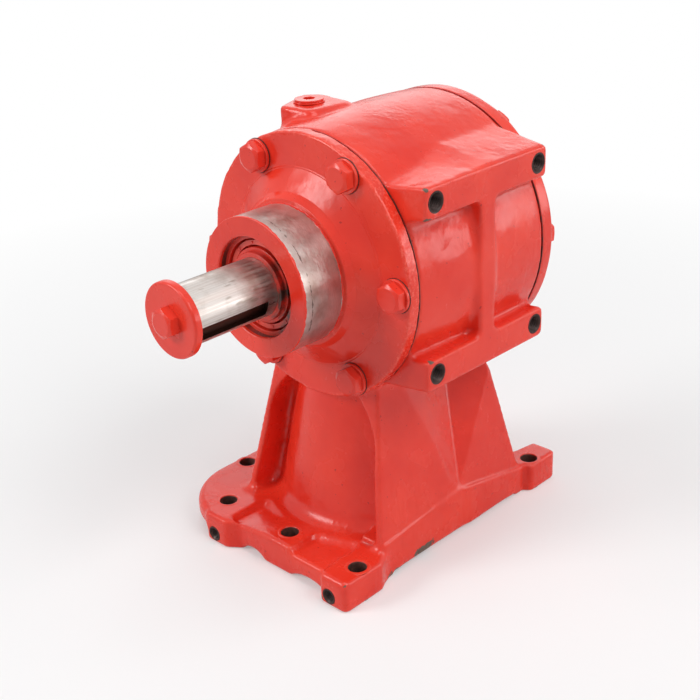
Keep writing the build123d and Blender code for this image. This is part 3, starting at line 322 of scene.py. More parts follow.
class Nodes:
    """Short names for the node kinds that the materials use."""

    def __init__(self, name):
        self.material = bpy.data.materials.new(name)
        self.material.use_nodes = True
        self.tree = self.material.node_tree
        self.tree.nodes.clear()
        self.output = self.tree.nodes.new("ShaderNodeOutputMaterial")
        self.place = self.tree.nodes.new("ShaderNodeTexCoord").outputs["Object"]

    def new(self, kind, **settings):
        node = self.tree.nodes.new(kind)
        for key, value in settings.items():
            setattr(node, key, value)
        return node

    def link(self, source, target):
        self.tree.links.new(source, target)

    def put(self, socket, value):
        if isinstance(value, bpy.types.NodeSocket):
            self.link(value, socket)
        else:
            socket.default_value = value

    def math(self, operation, a, b=0.0):
        node = self.new("ShaderNodeMath", operation=operation)
        for socket, value in zip(node.inputs, (a, b)):
            self.put(socket, value)
        return node.outputs[0]

    def noise(self, scale, detail=3.0, rough=0.5, place=None):
        node = self.new("ShaderNodeTexNoise")
        self.put(node.inputs["Vector"], place or self.place)
        self.put(node.inputs["Scale"], scale)
        self.put(node.inputs["Detail"], detail)
        self.put(node.inputs["Roughness"], rough)
        return node.outputs["Fac"]

    def ramp(self, value, *stops):
        """Grey or coloured ramp from (place, colour or number) stops."""
        node = self.new("ShaderNodeValToRGB")
        ramp = node.color_ramp
        while len(ramp.elements) < len(stops):
            ramp.elements.new(0.5)
        for element, (place, colour) in zip(ramp.elements, stops):
            element.position = place
            element.color = (colour,) * 3 + (1,) if isinstance(colour, float) else (*colour, 1)
        self.link(value, node.inputs[0])
        return node.outputs[0]

    def mix(self, factor, a, b):
        node = self.new("ShaderNodeMix", data_type="RGBA")
        self.put(node.inputs[0], factor)
        for socket, value in ((node.inputs[6], a), (node.inputs[7], b)):
            self.put(socket, (*value, 1) if isinstance(value, tuple) else value)
        return node.outputs[2]

    def mapped(self, scale, place=None):
        node = self.new("ShaderNodeMapping")
        self.put(node.inputs["Vector"], place or self.place)
        node.inputs["Scale"].default_value = scale
        return node.outputs[0]

    def split(self):
        node = self.new("ShaderNodeSeparateXYZ")
        self.put(node.inputs[0], self.place)
        return node.outputs

    def bump(self, height, distance, below=None):
        node = self.new("ShaderNodeBump")
        self.put(node.inputs["Height"], height)
        node.inputs["Distance"].default_value = distance
        node.inputs["Strength"].default_value = 1.0
        if below:
            self.link(below, node.inputs["Normal"])
        return node.outputs[0]

    def surface(self, colour, rough, normal=None, metal=0.0, **settings):
        shader = self.new("ShaderNodeBsdfPrincipled")
        self.put(shader.inputs["Base Color"], (*colour, 1) if isinstance(colour, tuple) else colour)
        self.put(shader.inputs["Roughness"], rough)
        self.put(shader.inputs["Metallic"], metal)
        if normal:
            self.link(normal, shader.inputs["Normal"])
        for key, value in settings.items():
            shader.inputs[key.replace("_", " ")].default_value = value
        self.link(shader.outputs[0], self.output.inputs[0])
        return shader


# Colours, as linear values
paint_red = (0.74, 0.029, 0.014)
paint_bright = (0.82, 0.045, 0.022)
paint_deep = (0.40, 0.010, 0.008)
# Pale pink, used only for painted highlights
painted_highlight_pink = (0.90, 0.13, 0.09)
paint_gloss = 0.32
coat_share = 0.1
coat_roughness = 0.1
steel_light = (0.62, 0.585, 0.555)
steel_brown = (0.33, 0.265, 0.23)
iron_bare = (0.20, 0.16, 0.12)
# Dark rust brown, for real chips and scuffs and also for painted shade in recesses
rust_and_shade_dark = (0.055, 0.025, 0.018)


def enamel_colour(kit):
    """Red paint: cloudy, with painted shade in the hollows, a painted highlight on convex edges, and a few
    dark specks.
    """
    clouds = kit.noise(22, 3)
    colour = kit.mix(kit.ramp(clouds, (0.38, 0.0), (0.66, 1.0)), paint_red, paint_bright)
    point = kit.new("ShaderNodeNewGeometry").outputs["Pointiness"]
    # Painted shade: darker where the surface is hollow.
    painted_hollow_shade = kit.ramp(point, (0.43, 0.7), (0.49, 0.0))
    colour = kit.mix(painted_hollow_shade, colour, paint_deep)
    # Painted highlight: paler pink on convex edges and crests.
    crest = kit.ramp(point, (0.52, 0.0), (0.58, 0.5))
    colour = kit.mix(crest, colour, painted_highlight_pink)
    specks = kit.ramp(kit.noise(260, 3), (0.715, 0.0), (0.735, 0.8))
    return kit.mix(specks, colour, paint_deep)


def enamel_normal(kit, lumps=1.0):
    """Cast lumps under the paint, sagging runs, orange peel and fine grit."""
    low = kit.bump(kit.noise(110, 3), 0.30 * MM * lumps)
    drips = kit.noise(1.0, 2, place=kit.mapped((260, 260, 45)))
    patches = kit.ramp(kit.noise(26, 2), (0.50, 0.0), (0.62, 1.0))
    runs = kit.bump(kit.math("MULTIPLY", drips, patches), 0.45 * MM * lumps, below=low)
    peel = kit.bump(kit.noise(420, 2), 0.06 * MM, below=runs)
    return kit.bump(kit.noise(1400, 2), 0.010 * MM, below=peel)


def enamel_roughness(kit):
    return kit.ramp(kit.noise(45, 4), (0.3, 0.18), (0.75, 0.34))


def glaze(surface):
    """Gloss of thick enamel."""
    surface.inputs["Specular IOR Level"].default_value = paint_gloss
    surface.inputs["Coat Weight"].default_value = coat_share
    surface.inputs["Coat Roughness"].default_value = coat_roughness


def enamel(name, lumps=1.0):
    kit = Nodes(name)
    surface = kit.surface(enamel_colour(kit), enamel_roughness(kit), enamel_normal(kit, lumps), IOR=1.5)
    glaze(surface)
    return kit.material


def greasy_shaded_enamel():
    """Paint of the bearing's recess, dulled by grease, with painted shade in blotches that grows towards +X.
    """
    kit = Nodes("greasy_paint")
    # Painted shade: darker towards +X, in blotches.
    right_side = kit.ramp(kit.math("DIVIDE", kit.split()[0], 40 * MM), (0.1, 0.1), (0.6, 1.0))
    painted_recess_shade = kit.math("MULTIPLY", kit.ramp(kit.noise(120, 4), (0.40, 0.2), (0.60, 1.0)), right_side)
    colour = kit.mix(painted_recess_shade, enamel_colour(kit), rust_and_shade_dark)
    rough = kit.ramp(kit.noise(90, 3), (0.3, 0.25), (0.7, 0.5))
    kit.surface(colour, rough, enamel_normal(kit, 0.3), IOR=1.5)
    return kit.material


def from_input(kit):
    """Sideways distance, place along Y and height, from the input axis."""
    x, y, z = kit.split()
    return x, y, kit.math("SUBTRACT", z, axis_height)


def reach_of(kit):
    """Distance from the input axis."""
    x, _, height = from_input(kit)
    return kit.math("SQRT", kit.math("ADD", kit.math("POWER", x, 2), kit.math("POWER", height, 2)))


def turned_streaks(kit):
    """Fine lines round the input axis."""
    x, y, height = from_input(kit)
    angle = kit.math("ARCTAN2", x, height)
    combine = kit.new("ShaderNodeCombineXYZ")
    kit.put(combine.inputs[0], kit.math("MULTIPLY", angle, 0.004))
    kit.put(combine.inputs[1], y)
    return combine.outputs[0]


def steel_colour(kit, streaks):
    stains = kit.ramp(kit.noise(38, 5, 0.6), (0.42, 0.0), (0.68, 1.0))
    colour = kit.mix(stains, steel_light, steel_brown)
    lines = kit.ramp(streaks, (0.35, 0.0), (0.7, 0.45))
    return kit.mix(lines, colour, steel_brown)


def turned_steel(name):
    kit = Nodes(name)
    streaks = kit.noise(2600, 3, place=turned_streaks(kit))
    rough = kit.ramp(streaks, (0.3, 0.3), (0.7, 0.5))
    kit.surface(steel_colour(kit, streaks), rough, kit.bump(streaks, 0.02 * MM), metal=1.0)
    return kit.material


def drawn_steel(name):
    """Shaft steel: streaks along its length, brown stains, scratches, and a keyway floor darkened by grease
    and painted shade.
    """
    kit = Nodes(name)
    along = kit.mapped((900, 14, 900))
    streaks = kit.noise(1.0, 4, place=along)
    scratches = kit.ramp(kit.noise(1.0, 2, place=kit.mapped((260, 60, 260))), (0.62, 0.0), (0.7, 0.5))
    colour = kit.mix(scratches, steel_colour(kit, streaks), iron_bare)
    # Keyway floor darker: grease, and painted shade where little light reaches.
    keyway_grease_and_shade = kit.math("LESS_THAN", reach_of(kit), shaft_radius - 0.3 * MM)
    colour = kit.mix(keyway_grease_and_shade, colour, rust_and_shade_dark)
    rough = kit.ramp(streaks, (0.3, 0.26), (0.7, 0.5))
    kit.surface(colour, rough, kit.bump(streaks, 0.03 * MM), metal=1.0)
    return kit.material


def nose_material():
    """Paint with a ragged bare band on the nose, pale speckles of painted highlight on the flange's rim, and
    painted shade inside the mouth.
    """
    kit = Nodes("painted_cover")
    y = kit.split()[1]
    reach = reach_of(kit)
    ragged = kit.math("MULTIPLY", kit.math("SUBTRACT", kit.noise(150, 4), 0.5), 3.0 * MM)
    along = kit.math("ADD", y, ragged)
    behind = kit.math("GREATER_THAN", along, nose_face + 1.6 * MM)
    ahead = kit.math("LESS_THAN", along, step_face - 1.2 * MM)
    outside = kit.math("GREATER_THAN", reach, nose_radius - 0.35 * MM)
    band = kit.math("MULTIPLY", kit.math("MULTIPLY", behind, ahead), outside)
    streaks = kit.noise(2600, 3, place=turned_streaks(kit))
    steel = steel_colour(kit, streaks)
    scuff = kit.math("ABSOLUTE", kit.math("SUBTRACT", y, nose_face + 7 * MM))
    scuff = kit.math("ADD", scuff, kit.math("MULTIPLY", kit.noise(240, 3), 4 * MM))
    scuff = kit.math("LESS_THAN", scuff, 2.1 * MM)
    steel = kit.mix(kit.math("MULTIPLY", scuff, 0.7), steel, rust_and_shade_dark)
    # Pale pink speckles along the flange's rim: painted highlight.
    rim = kit.ramp(kit.math("DIVIDE", reach, flange_radius), (0.965, 0.0), (0.99, 0.8))
    rim_speckles = kit.ramp(kit.noise(520, 5, 0.7), (0.52, 0.0), (0.60, 1.0))
    paint = kit.mix(kit.math("MULTIPLY", rim, rim_speckles), enamel_colour(kit), painted_highlight_pink)
    # Darker in blotches inside the mouth: painted shade.
    mouth = kit.math("LESS_THAN", reach, mouth_radius + 0.6 * MM)
    mouth = kit.math("MULTIPLY", mouth, kit.math("GREATER_THAN", y, nose_face + 2.5 * MM))
    painted_recess_shade = kit.math("MULTIPLY", mouth, kit.ramp(kit.noise(90, 3), (0.3, 0.45), (0.6, 0.95)))
    colour = kit.mix(band, kit.mix(painted_recess_shade, paint, rust_and_shade_dark), steel)
    rough = kit.mix(band, enamel_roughness(kit), kit.ramp(streaks, (0.3, 0.28), (0.7, 0.45)))
    step = kit.bump(kit.math("SUBTRACT", 1.0, band), 0.12 * MM, below=enamel_normal(kit, 0.6))
    surface = kit.surface(colour, rough, step, metal=band, IOR=1.5)
    glaze(surface)
    return kit.material


def plain_material(name, colour, darker, scale, rough, metal=0.0, grain=0.03):
    """Two-tone material with a fine grain, for rubber, paper, brass and dark steel."""
    kit = Nodes(name)
    tone = kit.ramp(kit.noise(scale, 4), (0.35, 0.0), (0.7, 1.0))
    shine = kit.ramp(kit.noise(scale * 3, 2), (0.3, rough * 0.8), (0.7, min(1.0, rough * 1.2)))
    normal = kit.bump(kit.noise(scale * 9, 2), grain * MM)
    kit.surface(kit.mix(tone, colour, darker), shine, normal, metal=metal)
    return kit.material


def chip_mask(kit, places):
    """1 where the paint is chipped off: ragged spots at given places, each with its half sizes."""
    ragged = kit.math("MULTIPLY", kit.noise(260, 4), 1.3)
    mask = None
    for place, sizes in places:
        offset = kit.new("ShaderNodeVectorMath", operation="SUBTRACT")
        kit.put(offset.inputs[0], kit.place)
        offset.inputs[1].default_value = [v * MM for v in place]
        length = kit.new("ShaderNodeVectorMath", operation="LENGTH")
        kit.put(length.inputs[0], kit.mapped([1 / (v * MM) for v in sizes], offset.outputs[0]))
        spot = kit.math("LESS_THAN", kit.math("ADD", length.outputs["Value"], ragged), 1.25)
        mask = kit.math("MAXIMUM", mask, spot) if mask else spot
    return mask


def joint_material():
    """Paper edge of the front joint: deep red, with broken dark patches that grow towards +X."""
    kit = Nodes("joint_line")
    right_side = kit.ramp(kit.math("DIVIDE", kit.split()[0], 100 * MM), (0.35, 0.0), (0.65, 1.0))
    broken = kit.ramp(kit.noise(160, 3), (0.40, 0.35), (0.55, 1.0))
    colour = kit.mix(kit.math("MULTIPLY", right_side, broken), paint_deep, rust_and_shade_dark)
    kit.surface(colour, 0.6, kit.bump(kit.noise(700, 2), 0.05 * MM))
    return kit.material


# Places of the chips and their half sizes, in millimetres
chips = [
    ((72, -36, 6.5), (30, 18, 6)),
    ((60, -70, 3), (26, 40, 4)),
    ((103, -62, 301), (5, 4, 3.5)),
    ((103, -60, 279.5), (5, 5, 2.5)),
    ((103, -58, 180), (5, 5, 3)),
    ((103, 66, 303), (5, 3, 3)),
    ((80, -128, 24), (5, 4, 4)),
    ((54, -128, 3), (4, 4, 5)),
    ((-80, -128, 22), (4, 4, 4)),
]


def housing_material():
    """Cast paint with a few chips down to bare iron."""
    kit = Nodes("painted_casting")
    chip = chip_mask(kit, chips)
    colour = kit.mix(chip, enamel_colour(kit), kit.mix(kit.noise(300, 3), rust_and_shade_dark, iron_bare))
    rough = kit.mix(chip, enamel_roughness(kit), (0.6, 0.6, 0.6))
    normal = kit.bump(kit.math("SUBTRACT", 1.0, chip), 0.2 * MM, below=enamel_normal(kit))
    surface = kit.surface(colour, rough, normal, IOR=1.5)
    glaze(surface)
    return kit.material


materials = {
    "casting": housing_material(),
    "cover": nose_material(),
    "paint": enamel("painted_parts", 0.4),
    "cast_parts": enamel("painted_cast_parts"),
    "greasy": greasy_shaded_enamel(),
    # Painted shade of the gaps under the front washers
    "gap": plain_material("paint_gap", (0.05, 0.006, 0.005), (0.015, 0.003, 0.003), 300, 0.6),
    "drilled": plain_material("drilled_iron", (0.16, 0.06, 0.045), (0.05, 0.025, 0.02), 240, 0.55, 0.3, 0.1),
    "shaft": drawn_steel("shaft_steel"),
    "turned": turned_steel("turned_steel"),
    "black": plain_material("blackened_steel", (0.05, 0.05, 0.055), (0.02, 0.018, 0.016), 120, 0.45, 0.8),
    "thread": plain_material("oily_thread", (0.045, 0.018, 0.014), (0.012, 0.006, 0.005), 200, 0.4, 0.5),
    "iron": plain_material("cast_iron", iron_bare, (0.12, 0.1, 0.085), 60, 0.7, 0.4, 0.2),
    "brass": plain_material("cage_brass", (0.62, 0.42, 0.16), (0.4, 0.25, 0.09), 90, 0.35, 1.0),
    "rubber": plain_material("seal_rubber", (0.02, 0.02, 0.02), (0.035, 0.03, 0.03), 80, 0.6),
    "joint": joint_material(),
    "paper": plain_material("gasket_paper", (0.06, 0.025, 0.02), (0.02, 0.008, 0.006), 300, 0.8, 0.0, 0.2),
}

slot_materials = {
    "red_paint": "paint",
    "machined_steel": "shaft",
    "bearing_steel": "turned",
    "black_steel": "black",
    "cast_iron": "iron",
    "cage_brass": "brass",
    "seal_rubber": "rubber",
    "gasket_paper": "paper",
}
node_materials = {
    "housing": "casting",
    "rear_cover": "cast_parts",
    "front_cover": "cover",
    "nose_bearing_cage": "greasy",
    "nose_bearing_balls": "greasy",
    "front_gasket": "joint",
    "rear_gasket": "joint",
}
node_slots = {part["node"]: part["material_slot"] for part in frame["record"]["subparts"]}


def dress_nodes():
    """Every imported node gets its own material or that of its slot."""
    for name, node in nodes.items():
        key = node_materials.get(name) or slot_materials[node_slots[name]]
        node.data.materials.clear()
        node.data.materials.append(materials[key])


# Holes of the housing, from the record's mounts: place, axis number, radius and ends along the axis

def pattern_places(mount, first, second):
    """Hole places of a bolt pattern, spaced along two axes."""
    dims = mount["dims"]
    centre = Vector(mount["pos_m"])
    places = [centre]
    for axis, key in ((first, "spacing_x_mm"), (second, "spacing_y_mm")):
        if key in dims:
            step = Vector()
            step[axis] = dims[key] * MM / 2
            places = [place + step * side for place in places for side in (-1, 1)]
    return places


foot_hole_radius = mounts["foot_bolts"]["dims"]["hole_r_mm"] * MM
lobe_underside = mounts["lobe_bolts"]["pos_m"][2]
side_tap_radius = mounts["side_taps"]["dims"]["hole_r_mm"] * MM
lug_tap_radius = mounts["lug_taps"]["dims"]["hole_r_mm"] * MM
lug_face = mounts["lug_taps"]["pos_m"][1]
foot_places = pattern_places(mounts["foot_bolts"], 0, 1) + [Vector(mounts["foot_front_hole"]["pos_m"])]
lobe_places = pattern_places(mounts["lobe_bolts"], 0, 1)
side_tap_places = pattern_places(mounts["side_taps"], 1, 2)
lug_tap_places = pattern_places(mounts["lug_taps"], 0, 2)
holes = [(place, 2, foot_hole_radius, 0, foot_top) for place in foot_places]
holes += [(place, 2, foot_hole_radius, lobe_underside, foot_top) for place in lobe_places]
holes += [(place, 0, side_tap_radius, pad_face - tap_depth, pad_face) for place in side_tap_places]
holes += [(place, 1, lug_tap_radius, lug_face, lug_face + tap_depth) for place in lug_tap_places]


# Casting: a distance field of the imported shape, filled in its hollows and rounded at its edges

voxel = 1.25 * MM
field_margin = 14 * MM
field_low = np.floor((np.array(cad_low) - field_margin) / voxel).astype(int)
field_high = np.ceil((np.array(cad_high) + field_margin) / voxel).astype(int)
steps_x, steps_y, steps_z = field_high - field_low
field_axes = [
    (field_low[0] + np.arange(steps_x)).reshape(-1, 1, 1) * voxel,
    (field_low[1] + np.arange(steps_y)).reshape(1, -1, 1) * voxel,
    (field_low[2] + np.arange(steps_z)).reshape(1, 1, -1) * voxel,
]
web_fillet = 3.2 * MM
foot_fillet = 5.5 * MM
foot_fillet_heights = (35 * MM, 55 * MM)
foot_fillet_reaches = (88 * MM, 98 * MM)
field_reach = 4 * MM
hole_allowance = 0.8 * MM

# Skirt of the foot under the tapped side: its upper edge rises to a low peak, and its underside is relieved
skirt_front = (-80 * MM, 30 * MM)
skirt_peak = (8 * MM, 39 * MM)
skirt_rear = (86 * MM, 24 * MM)
skirt_face = 73.4 * MM
skirt_inside = 50 * MM
skirt_bottom = 1 * MM
skirt_rear_rise = 1.2 * MM
skirt_rise_length = 12 * MM
skirt_relief = 3.0 * MM
skirt_relief_span = (-70 * MM, 77 * MM)
skirt_relief_sides = (60 * MM, 90 * MM)

# Valley of the tapped side's panel: its point, its upper corners on the panel, and a place on its bottom line
valley_point = Vector((71, 8, 40)) * MM
valley_front = Vector((55.5, -30, 130)) * MM
valley_rear = Vector((57.5, 61, 113)) * MM
valley_bottom = Vector((36, 32, 125)) * MM
valley_top = 151 * MM
valley_wall = 5 * MM
valley_bore = 41.5 * MM
panel_foot = (72 * MM, 25 * MM)
panel_lean = 0.168


def node_shape(name):
    """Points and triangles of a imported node."""
    mesh = nodes[name].data
    mesh.calc_loop_triangles()
    points = np.empty(3 * len(mesh.vertices), np.float32)
    mesh.vertices.foreach_get("co", points)
    triangles = np.empty(3 * len(mesh.loop_triangles), np.int32)
    mesh.loop_triangles.foreach_get("vertices", triangles)
    return points.reshape(-1, 3), triangles.reshape(-1, 3).astype(np.uint32), np.empty((0, 4), np.uint32)


def field_of(shape, reach):
    """Signed distances from a closed surface, out to a reach."""
    points, triangles, quads = shape
    spacing = vdb.createLinearTransform(voxel)
    grid = vdb.FloatGrid.createLevelSetFromPolygons(
        points, triangles=triangles, quads=quads, transform=spacing, halfWidth=reach / voxel + 2
    )
    field = np.full(tuple(field_high - field_low), grid.background, np.float32)
    grid.copyToArray(field, ijk=tuple(field_low))
    return field


def shape_at(field, distance=0.0):
    """Surface where the distance has one value."""
    grid = vdb.FloatGrid(float(field.max()))
    grid.copyFromArray(field, ijk=tuple(field_low), tolerance=0)
    grid.transform = vdb.createLinearTransform(voxel)
    points, triangles, quads = grid.convertToPolygons(isovalue=distance)
    return points, triangles.astype(np.uint32), quads.astype(np.uint32)


def hole_field(place, axis, radius, start, end):
    """Distances from a cylinder along one axis."""
    first, second = [i for i in range(3) if i != axis]
    radial = np.hypot(field_axes[first] - place[first], field_axes[second] - place[second]) - radius
    return np.maximum(radial, np.abs(field_axes[axis] - (start + end) / 2) - (end - start) / 2)


def mixed(first, second, share):
    return (first + (second - first) * share).astype(np.float32)


def crisp_share(x, y, z):
    """1 on machined faces and joints, 0 on the cast skin."""
    front = between(-y, -front_parting - skin_margin, -front_parting - joint_margin)
    rear = between(y, rear_parting - skin_margin, rear_parting - joint_margin)
    pads = between(x, pad_face - pad_skin_margins[0], pad_face - pad_skin_margins[1])
    seat = 1 - between(z, 0.5 * MM, skin_margin)
    return np.maximum(np.maximum(front, rear), np.maximum(pads, seat))


def block_field(low, high):
    """Distances from a box."""
    sides = [
        np.abs(axis - (start + end) / 2) - (end - start) / 2
        for axis, start, end in zip(field_axes, low, high)
    ]
    return np.maximum(np.maximum(sides[0], sides[1]), sides[2])


def softened(field, rounds):
    """The field averaged with its neighbours, which rounds edges by about a voxel a round."""
    for _ in range(rounds):
        for axis in range(3):
            field = (np.roll(field, 1, axis) + 2 * field + np.roll(field, -1, axis)) / 4
    return field.astype(np.float32)


def closed(field, radius):
    """Hollows narrower than a ball filled to its radius."""
    grown = field_of(shape_at(field, radius), radius + field_reach)
    return field_of(shape_at(grown, -radius), field_reach)


def skirt_field():
    y = field_axes[1]
    heights = np.interp(y, *zip(skirt_front, skirt_peak, skirt_rear))
    face = skirt_face + skirt_rear_rise * between(y, skirt_peak[0], skirt_peak[0] + skirt_rise_length)
    above = field_axes[2] - heights
    outside = np.maximum(field_axes[0] - face, skirt_inside - field_axes[0])
    along = np.maximum(skirt_front[0] - y, y - skirt_rear[0])
    return np.maximum(np.maximum(above, outside), np.maximum(along, skirt_bottom - field_axes[2]))


def plane_field(origin, first, second):
    """Distances from the plane through three points, positive on the side of +X."""
    normal = (first - origin).cross(second - origin).normalized()
    if normal.x < 0:
        normal.negate()
    return sum((axis - start) * part for axis, start, part in zip(field_axes, origin, normal))


def valley_field():
    """Negative in the wedge that the valley takes out of the panel."""
    front = plane_field(valley_point, valley_front, valley_bottom)
    rear = plane_field(valley_point, valley_bottom, valley_rear)
    return -np.minimum(np.minimum(front, rear), valley_top - field_axes[2])


def valley_wall_field():
    """Wall behind the valley, inside the panel and clear of the output bore."""
    x, y, z = field_axes
    panel = x - panel_foot[0] + (z - panel_foot[1]) * panel_lean
    bore = valley_bore - np.hypot(x, y)
    within = np.maximum(np.maximum(panel, bore), np.maximum(valley_front.y - y, y - valley_rear.y))
    within = np.maximum(within, np.maximum(valley_point.z - z, z - valley_top))
    return np.maximum(within, valley_field() - valley_wall)


def housing_surface():
    """Points, triangles and quads of the casting."""
    field = field_of(node_shape("housing"), foot_fillet)
    for hole in holes:
        field = np.minimum(field, hole_field(*hole))
    x, y, z = field_axes
    low_down = (1 - between(z, *foot_fillet_heights)) * (1 - between(np.abs(y), *foot_fillet_reaches))
    filled = mixed(closed(field, web_fillet), closed(field, foot_fillet), low_down)
    filled = np.minimum(filled, valley_wall_field())
    filled = np.maximum(filled, -valley_field())
    filled = np.minimum(filled, skirt_field())
    relief_low = (skirt_relief_sides[0], skirt_relief_span[0], -field_margin)
    relief_high = (skirt_relief_sides[1], skirt_relief_span[1], skirt_relief)
    filled = np.maximum(filled, -block_field(relief_low, relief_high)).astype(np.float32)
    field = mixed(softened(filled, 2), softened(filled, 1), crisp_share(x, y, z))
    for place, axis, radius, start, end in holes:
        bore = hole_field(place, axis, radius + hole_allowance, start - voxel, end + voxel)
        field = np.maximum(field, -bore).astype(np.float32)
    return shape_at(field)


def inside_housing(places):
    """True in the gear chamber, the output bore and the bottom cover's recess."""
    y, z = places[:, 1], places[:, 2]
    in_barrel = reach_from_input(places) < barrel_bore
    in_barrel &= (y > front_parting + joint_margin) & (y < rear_parting - joint_margin)
    reach = np.hypot(places[:, 0], y)
    in_tube = (reach < output_bore) | ((reach < bottom_cover_bore) & (z < bottom_cover_depth))
    return in_barrel | in_tube


def housing_relief(places):
    share = 1 - crisp_share(*places.T)
    share[inside_housing(places)] = 0
    return cast_relief(places, seed=11) * share


def add_surface(name, points, triangles, quads):
    """Mesh object from arrays of points, triangles and quads, faces outward."""
    corners = points[quads]
    volume = np.einsum("ij,ij->", np.cross(corners[:, 0], corners[:, 1]), corners[:, 2])
    if volume < 0:
        quads = quads[:, ::-1]
        triangles = triangles[:, ::-1]
    sizes = np.concatenate([np.full(len(triangles), 3), np.full(len(quads), 4)])
    mesh = bpy.data.meshes.new(name)
    mesh.vertices.add(len(points))
    mesh.vertices.foreach_set("co", points.ravel())
    mesh.loops.add(int(sizes.sum()))
    corner_points = np.concatenate([triangles.ravel(), quads.ravel()])
    mesh.loops.foreach_set("vertex_index", corner_points.astype(np.int32))
    mesh.polygons.add(len(sizes))
    mesh.polygons.foreach_set("loop_start", (np.cumsum(sizes) - sizes).astype(np.int32))
    mesh.update(calc_edges=True)
    mesh.validate()
    return link_mesh(name, mesh)


def make_housing():
    piece = add_surface("housing_casting", *housing_surface())
    push_out(piece, housing_relief)
    shade(piece.data, 50)
    return finish_piece(piece, "housing", materials["casting"], ["housing"])


# Covers

def front_cover_profile():
    """Radius and place along Y: from the spigot round the flange, boss and nose, and back inside."""
    outside = [
        (spigot_outer, front_parting + spigot_length),
        (spigot_outer, front_joint),
        (flange_radius, front_joint),
        (flange_radius, flange_face),
        (boss_root_radius + 2.5 * ridge_half_width, flange_face),
        (boss_root_radius + ridge_half_width, flange_face - ridge_height),
        (boss_root_radius - ridge_half_width, flange_face - ridge_inner_height),
        (boss_top_radius, boss_face),
        (step_radius, step_face),
        (nose_radius, step_face),
        (nose_radius, nose_face),
        (mouth_radius, nose_face),
        (mouth_radius, mouth_back),
    ]
    inside = [
        (socket_radius, mouth_back),
        (socket_radius, flange_face - socket_back_margin),
        (spigot_inner - spigot_draft, flange_face),
        (spigot_inner, front_parting + spigot_length),
    ]
    return refine(rounded(outside, front_edge_radii), 1.5 * MM) + inside


def front_cover_relief(places):
    """Cast surface, with rough paint along the flange's edge."""
    edge = between(reach_from_input(places), flange_radius - 4 * MM, flange_radius - 1 * MM)
    rim_speckles = cast_noise(places, 3.2 * MM, seed=71) * 0.22 * MM
    runs = cast_noise(places, 7 * MM, seed=72) * 0.3 * MM
    return (cast_relief(places, seed=41) + (rim_speckles + runs) * edge) * front_cover_share(places)


def front_cover_share(places):
    """Cast lumps everywhere but on the turned nose and inside."""
    reach = reach_from_input(places)
    turned_part = (places[:, 1] < step_face - 0.3 * MM) | (places[:, 1] > front_joint)
    ridge = np.abs(reach - boss_root_radius) < 2 * MM
    share = np.where(reach > mouth_radius + 6 * MM, 1.0, 0.0)
    share = np.where(ridge, 0.5, share)
    return np.where(turned_part, 0.0, share)


def rear_cover_profile():
    """Radius and place along Y: from the dome's middle round the rim, and back inside."""
    outside = [
        (0, rear_high.y),
        (rear_dome_radius, rear_high.y),
        (rear_dome_radius, rear_cover_face),
        (rear_radius, rear_cover_face),
        (rear_radius, rear_joint),
        (spigot_outer, rear_joint),
        (spigot_outer, rear_parting - spigot_length),
    ]
    inside = [
        (spigot_inner, rear_parting - spigot_length),
        (spigot_inner, rear_joint),
        (rear_socket_outer, rear_joint),
        (rear_socket_outer, rear_socket_front),
        (socket_radius, rear_socket_front),
        (socket_radius, rear_socket_back),
        (rear_lip_radius, rear_socket_back),
        (rear_lip_radius, rear_hollow_end),
        (0, rear_hollow_end),
    ]
    return refine(rounded(outside, rear_edge_radii), 2.5 * MM) + inside


def rear_cover_relief(places):
    return cast_relief(places, seed=61) * (places[:, 1] > rear_joint + 0.2 * MM)


def make_covers():
    steps = 400
    front = about_input("front_cover_casting", front_cover_profile(), steps)
    push_out(front, front_cover_relief)
    finish_piece(front, "housing", materials["cover"], ["front_cover"])
    rear = about_input("rear_cover_casting", rear_cover_profile(), steps // 2)
    push_out(rear, rear_cover_relief)
    finish_piece(rear, "housing", materials["cast_parts"], ["rear_cover"])


# Small parts with rounded edges

def worn_copy(name, node, width, body, material):
    """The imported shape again, its sharp edges rounded."""
    work = bmesh.new()
    work.from_mesh(nodes[node].data)
    bmesh.ops.remove_doubles(work, verts=work.verts, dist=0.002 * MM)
    bmesh.ops.dissolve_limit(
        work, angle_limit=math.radians(0.6), verts=work.verts, edges=work.edges, delimit=set()
    )
    edges = [e for e in work.edges if e.is_manifold and e.calc_face_angle(0) > math.radians(24)]
    bmesh.ops.bevel(
        work, geom=edges, offset=width, segments=3, profile=0.5, affect="EDGES", clamp_overlap=True
    )
    mesh = bpy.data.meshes.new(name)
    work.to_mesh(mesh)
    work.free()
    piece = link_mesh(name, mesh)
    shade(mesh, 34)
    flats = piece.modifiers.new("flat_faces", "WEIGHTED_NORMAL")
    flats.keep_sharp = True
    return finish_piece(piece, body, materials[material], [node])


# Node, width of its worn edges in millimetres, body, slot and material
worn_nodes = [
    ("front_cover_bolts", 0.7, "housing", "red_paint", "paint"),
    ("front_cover_washers", 0.5, "housing", "red_paint", "paint"),
    ("rear_cover_bolts", 0.7, "housing", "red_paint", "paint"),
    ("rear_cover_washers", 0.5, "housing", "red_paint", "paint"),
    ("filler_plug", 0.4, "housing", "red_paint", "paint"),
    ("filler_plug_washer", 0.2, "housing", "red_paint", "paint"),
    ("level_plug", 0.4, "housing", "red_paint", "paint"),
    ("drain_plug", 0.4, "housing", "red_paint", "paint"),
    ("end_disc", 0.9, "input", "red_paint", "paint"),
    ("end_bolt", 0.7, "input", "red_paint", "paint"),
    ("input_shaft", 0.35, "input", "machined_steel", "shaft"),
    ("nose_collar", 0.5, "input", "red_paint", "greasy"),
    ("nose_bearing_outer_ring", 0.4, "housing", "red_paint", "greasy"),
    ("nose_bearing_inner_ring", 0.4, "input", "red_paint", "greasy"),
]


